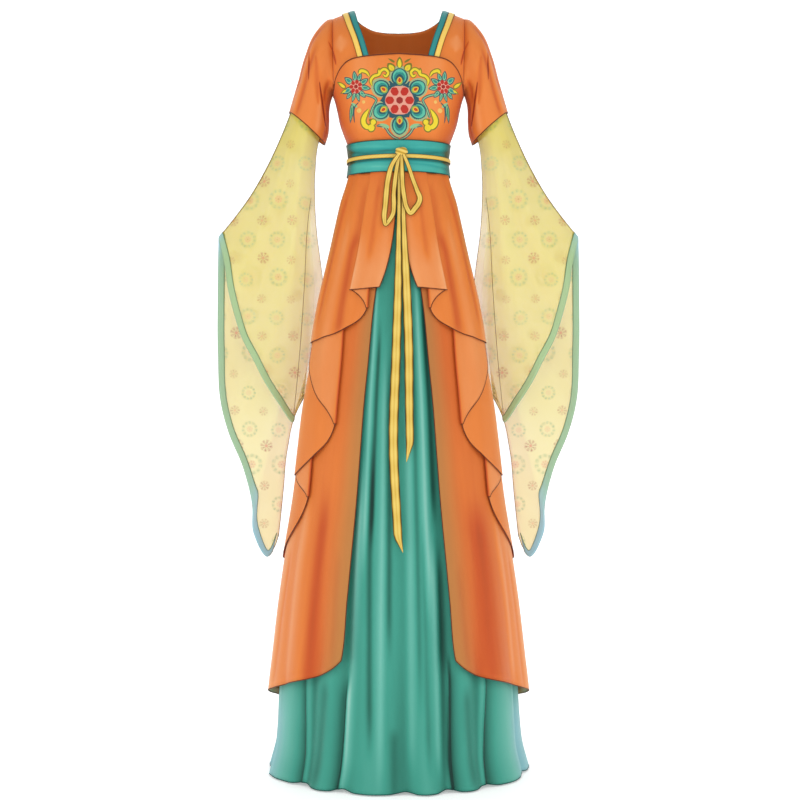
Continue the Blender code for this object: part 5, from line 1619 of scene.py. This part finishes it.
for side, name in SIDES:
    cloth(
        f"{name}_gauze_border_silk", gauze_border(side), (1.10, 0.0255), (240, 10), GREEN,
        f"{name}_gauze_border", "stretched", rests_on=[f"{name}_gauze"], rolls=["top", "hem"], radius=0.0006,
    )

# ------------------------------------------------------------------ floor, backdrop and light
# A plain white paper lies under the robe and curves up into a backdrop well behind it. Round soft lamps
# stand in front, at both sides and behind.
bpy.context.scene.view_settings.view_transform = "Standard"
WHITE = linear_colour("FFFFFF")
white_paper = Finish("white_paper", {"Base Color": WHITE, "Roughness": 0.9, "Specular IOR Level": 0.1})
white_paper.paint({"Emission Color": WHITE, "Emission Strength": 0.36})
FLOOR_DROP = 1.5092
PAPER_SIZE = 12.0
PAPER_FRONT = -5.0
BEND_START, BEND_END = 8.4, 10.8
BEND_RADIUS = 1.53
bm = bmesh.new()
bmesh.ops.create_grid(bm, x_segments=2, y_segments=60, size=0.5)
for vertex in bm.verts:
    out = (vertex.co.y + 0.5) * PAPER_SIZE
    bend = min(max(out - BEND_START, 0.0) / 2.4, 1.0) * math.pi / 2
    y = min(out, BEND_START) + PAPER_FRONT + BEND_RADIUS * math.sin(bend)
    z = BEND_RADIUS * (1 - math.cos(bend)) + max(out - BEND_END, 0.0) * 2.4
    vertex.co = (vertex.co.x * PAPER_SIZE, y, z - FLOOR_DROP)
bmesh.ops.recalc_face_normals(bm, faces=bm.faces)
paper = smooth_mesh("backdrop", bm)
paper.materials.append(white_paper.material)
backdrop = bpy.data.objects.new("backdrop", paper)
bpy.context.scene.collection.objects.link(backdrop)
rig.stage(backdrop)

AIM = np.array((0.0, 0.0, -0.75))
WORLD_STRENGTH = 0.62
LIGHTS = [
    # name, place, size, watts
    ("front_light", (0.0, -4.6, 0.9), 3.4, 38.0),
    ("left_light", (3.2, -2.2, 0.2), 2.4, 16.2),
    ("right_light", (-3.2, -2.2, 0.2), 2.4, 16.4),
    ("back_light", (0.0, 2.4, 1.8), 2.4, 26.0),
]
for name, place, size, watts in LIGHTS:
    lamp = bpy.data.lights.new(name, "AREA")
    lamp.shape, lamp.size, lamp.energy = "DISK", size, watts
    light = bpy.data.objects.new(name, lamp)
    light.location = place
    aim = AIM - np.array(place)
    light.rotation_euler = (math.atan2(math.hypot(aim[0], aim[1]), -aim[2]), 0, math.atan2(-aim[0], aim[1]))
    bpy.context.scene.collection.objects.link(light)
world = bpy.data.worlds.new("studio")
bpy.context.scene.world = world
world.use_nodes = True
background = world.node_tree.nodes["Background"].inputs
background["Color"].default_value = (1, 1, 1, 1)
background["Strength"].default_value = WORLD_STRENGTH

low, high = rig.bounds()
with open("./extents.json", "w") as sizes:
    json.dump(
        {"cad_m": [list(cad_low), list(cad_high)], "visual_m": [list(low), list(high)]}, sizes, indent=1
    )
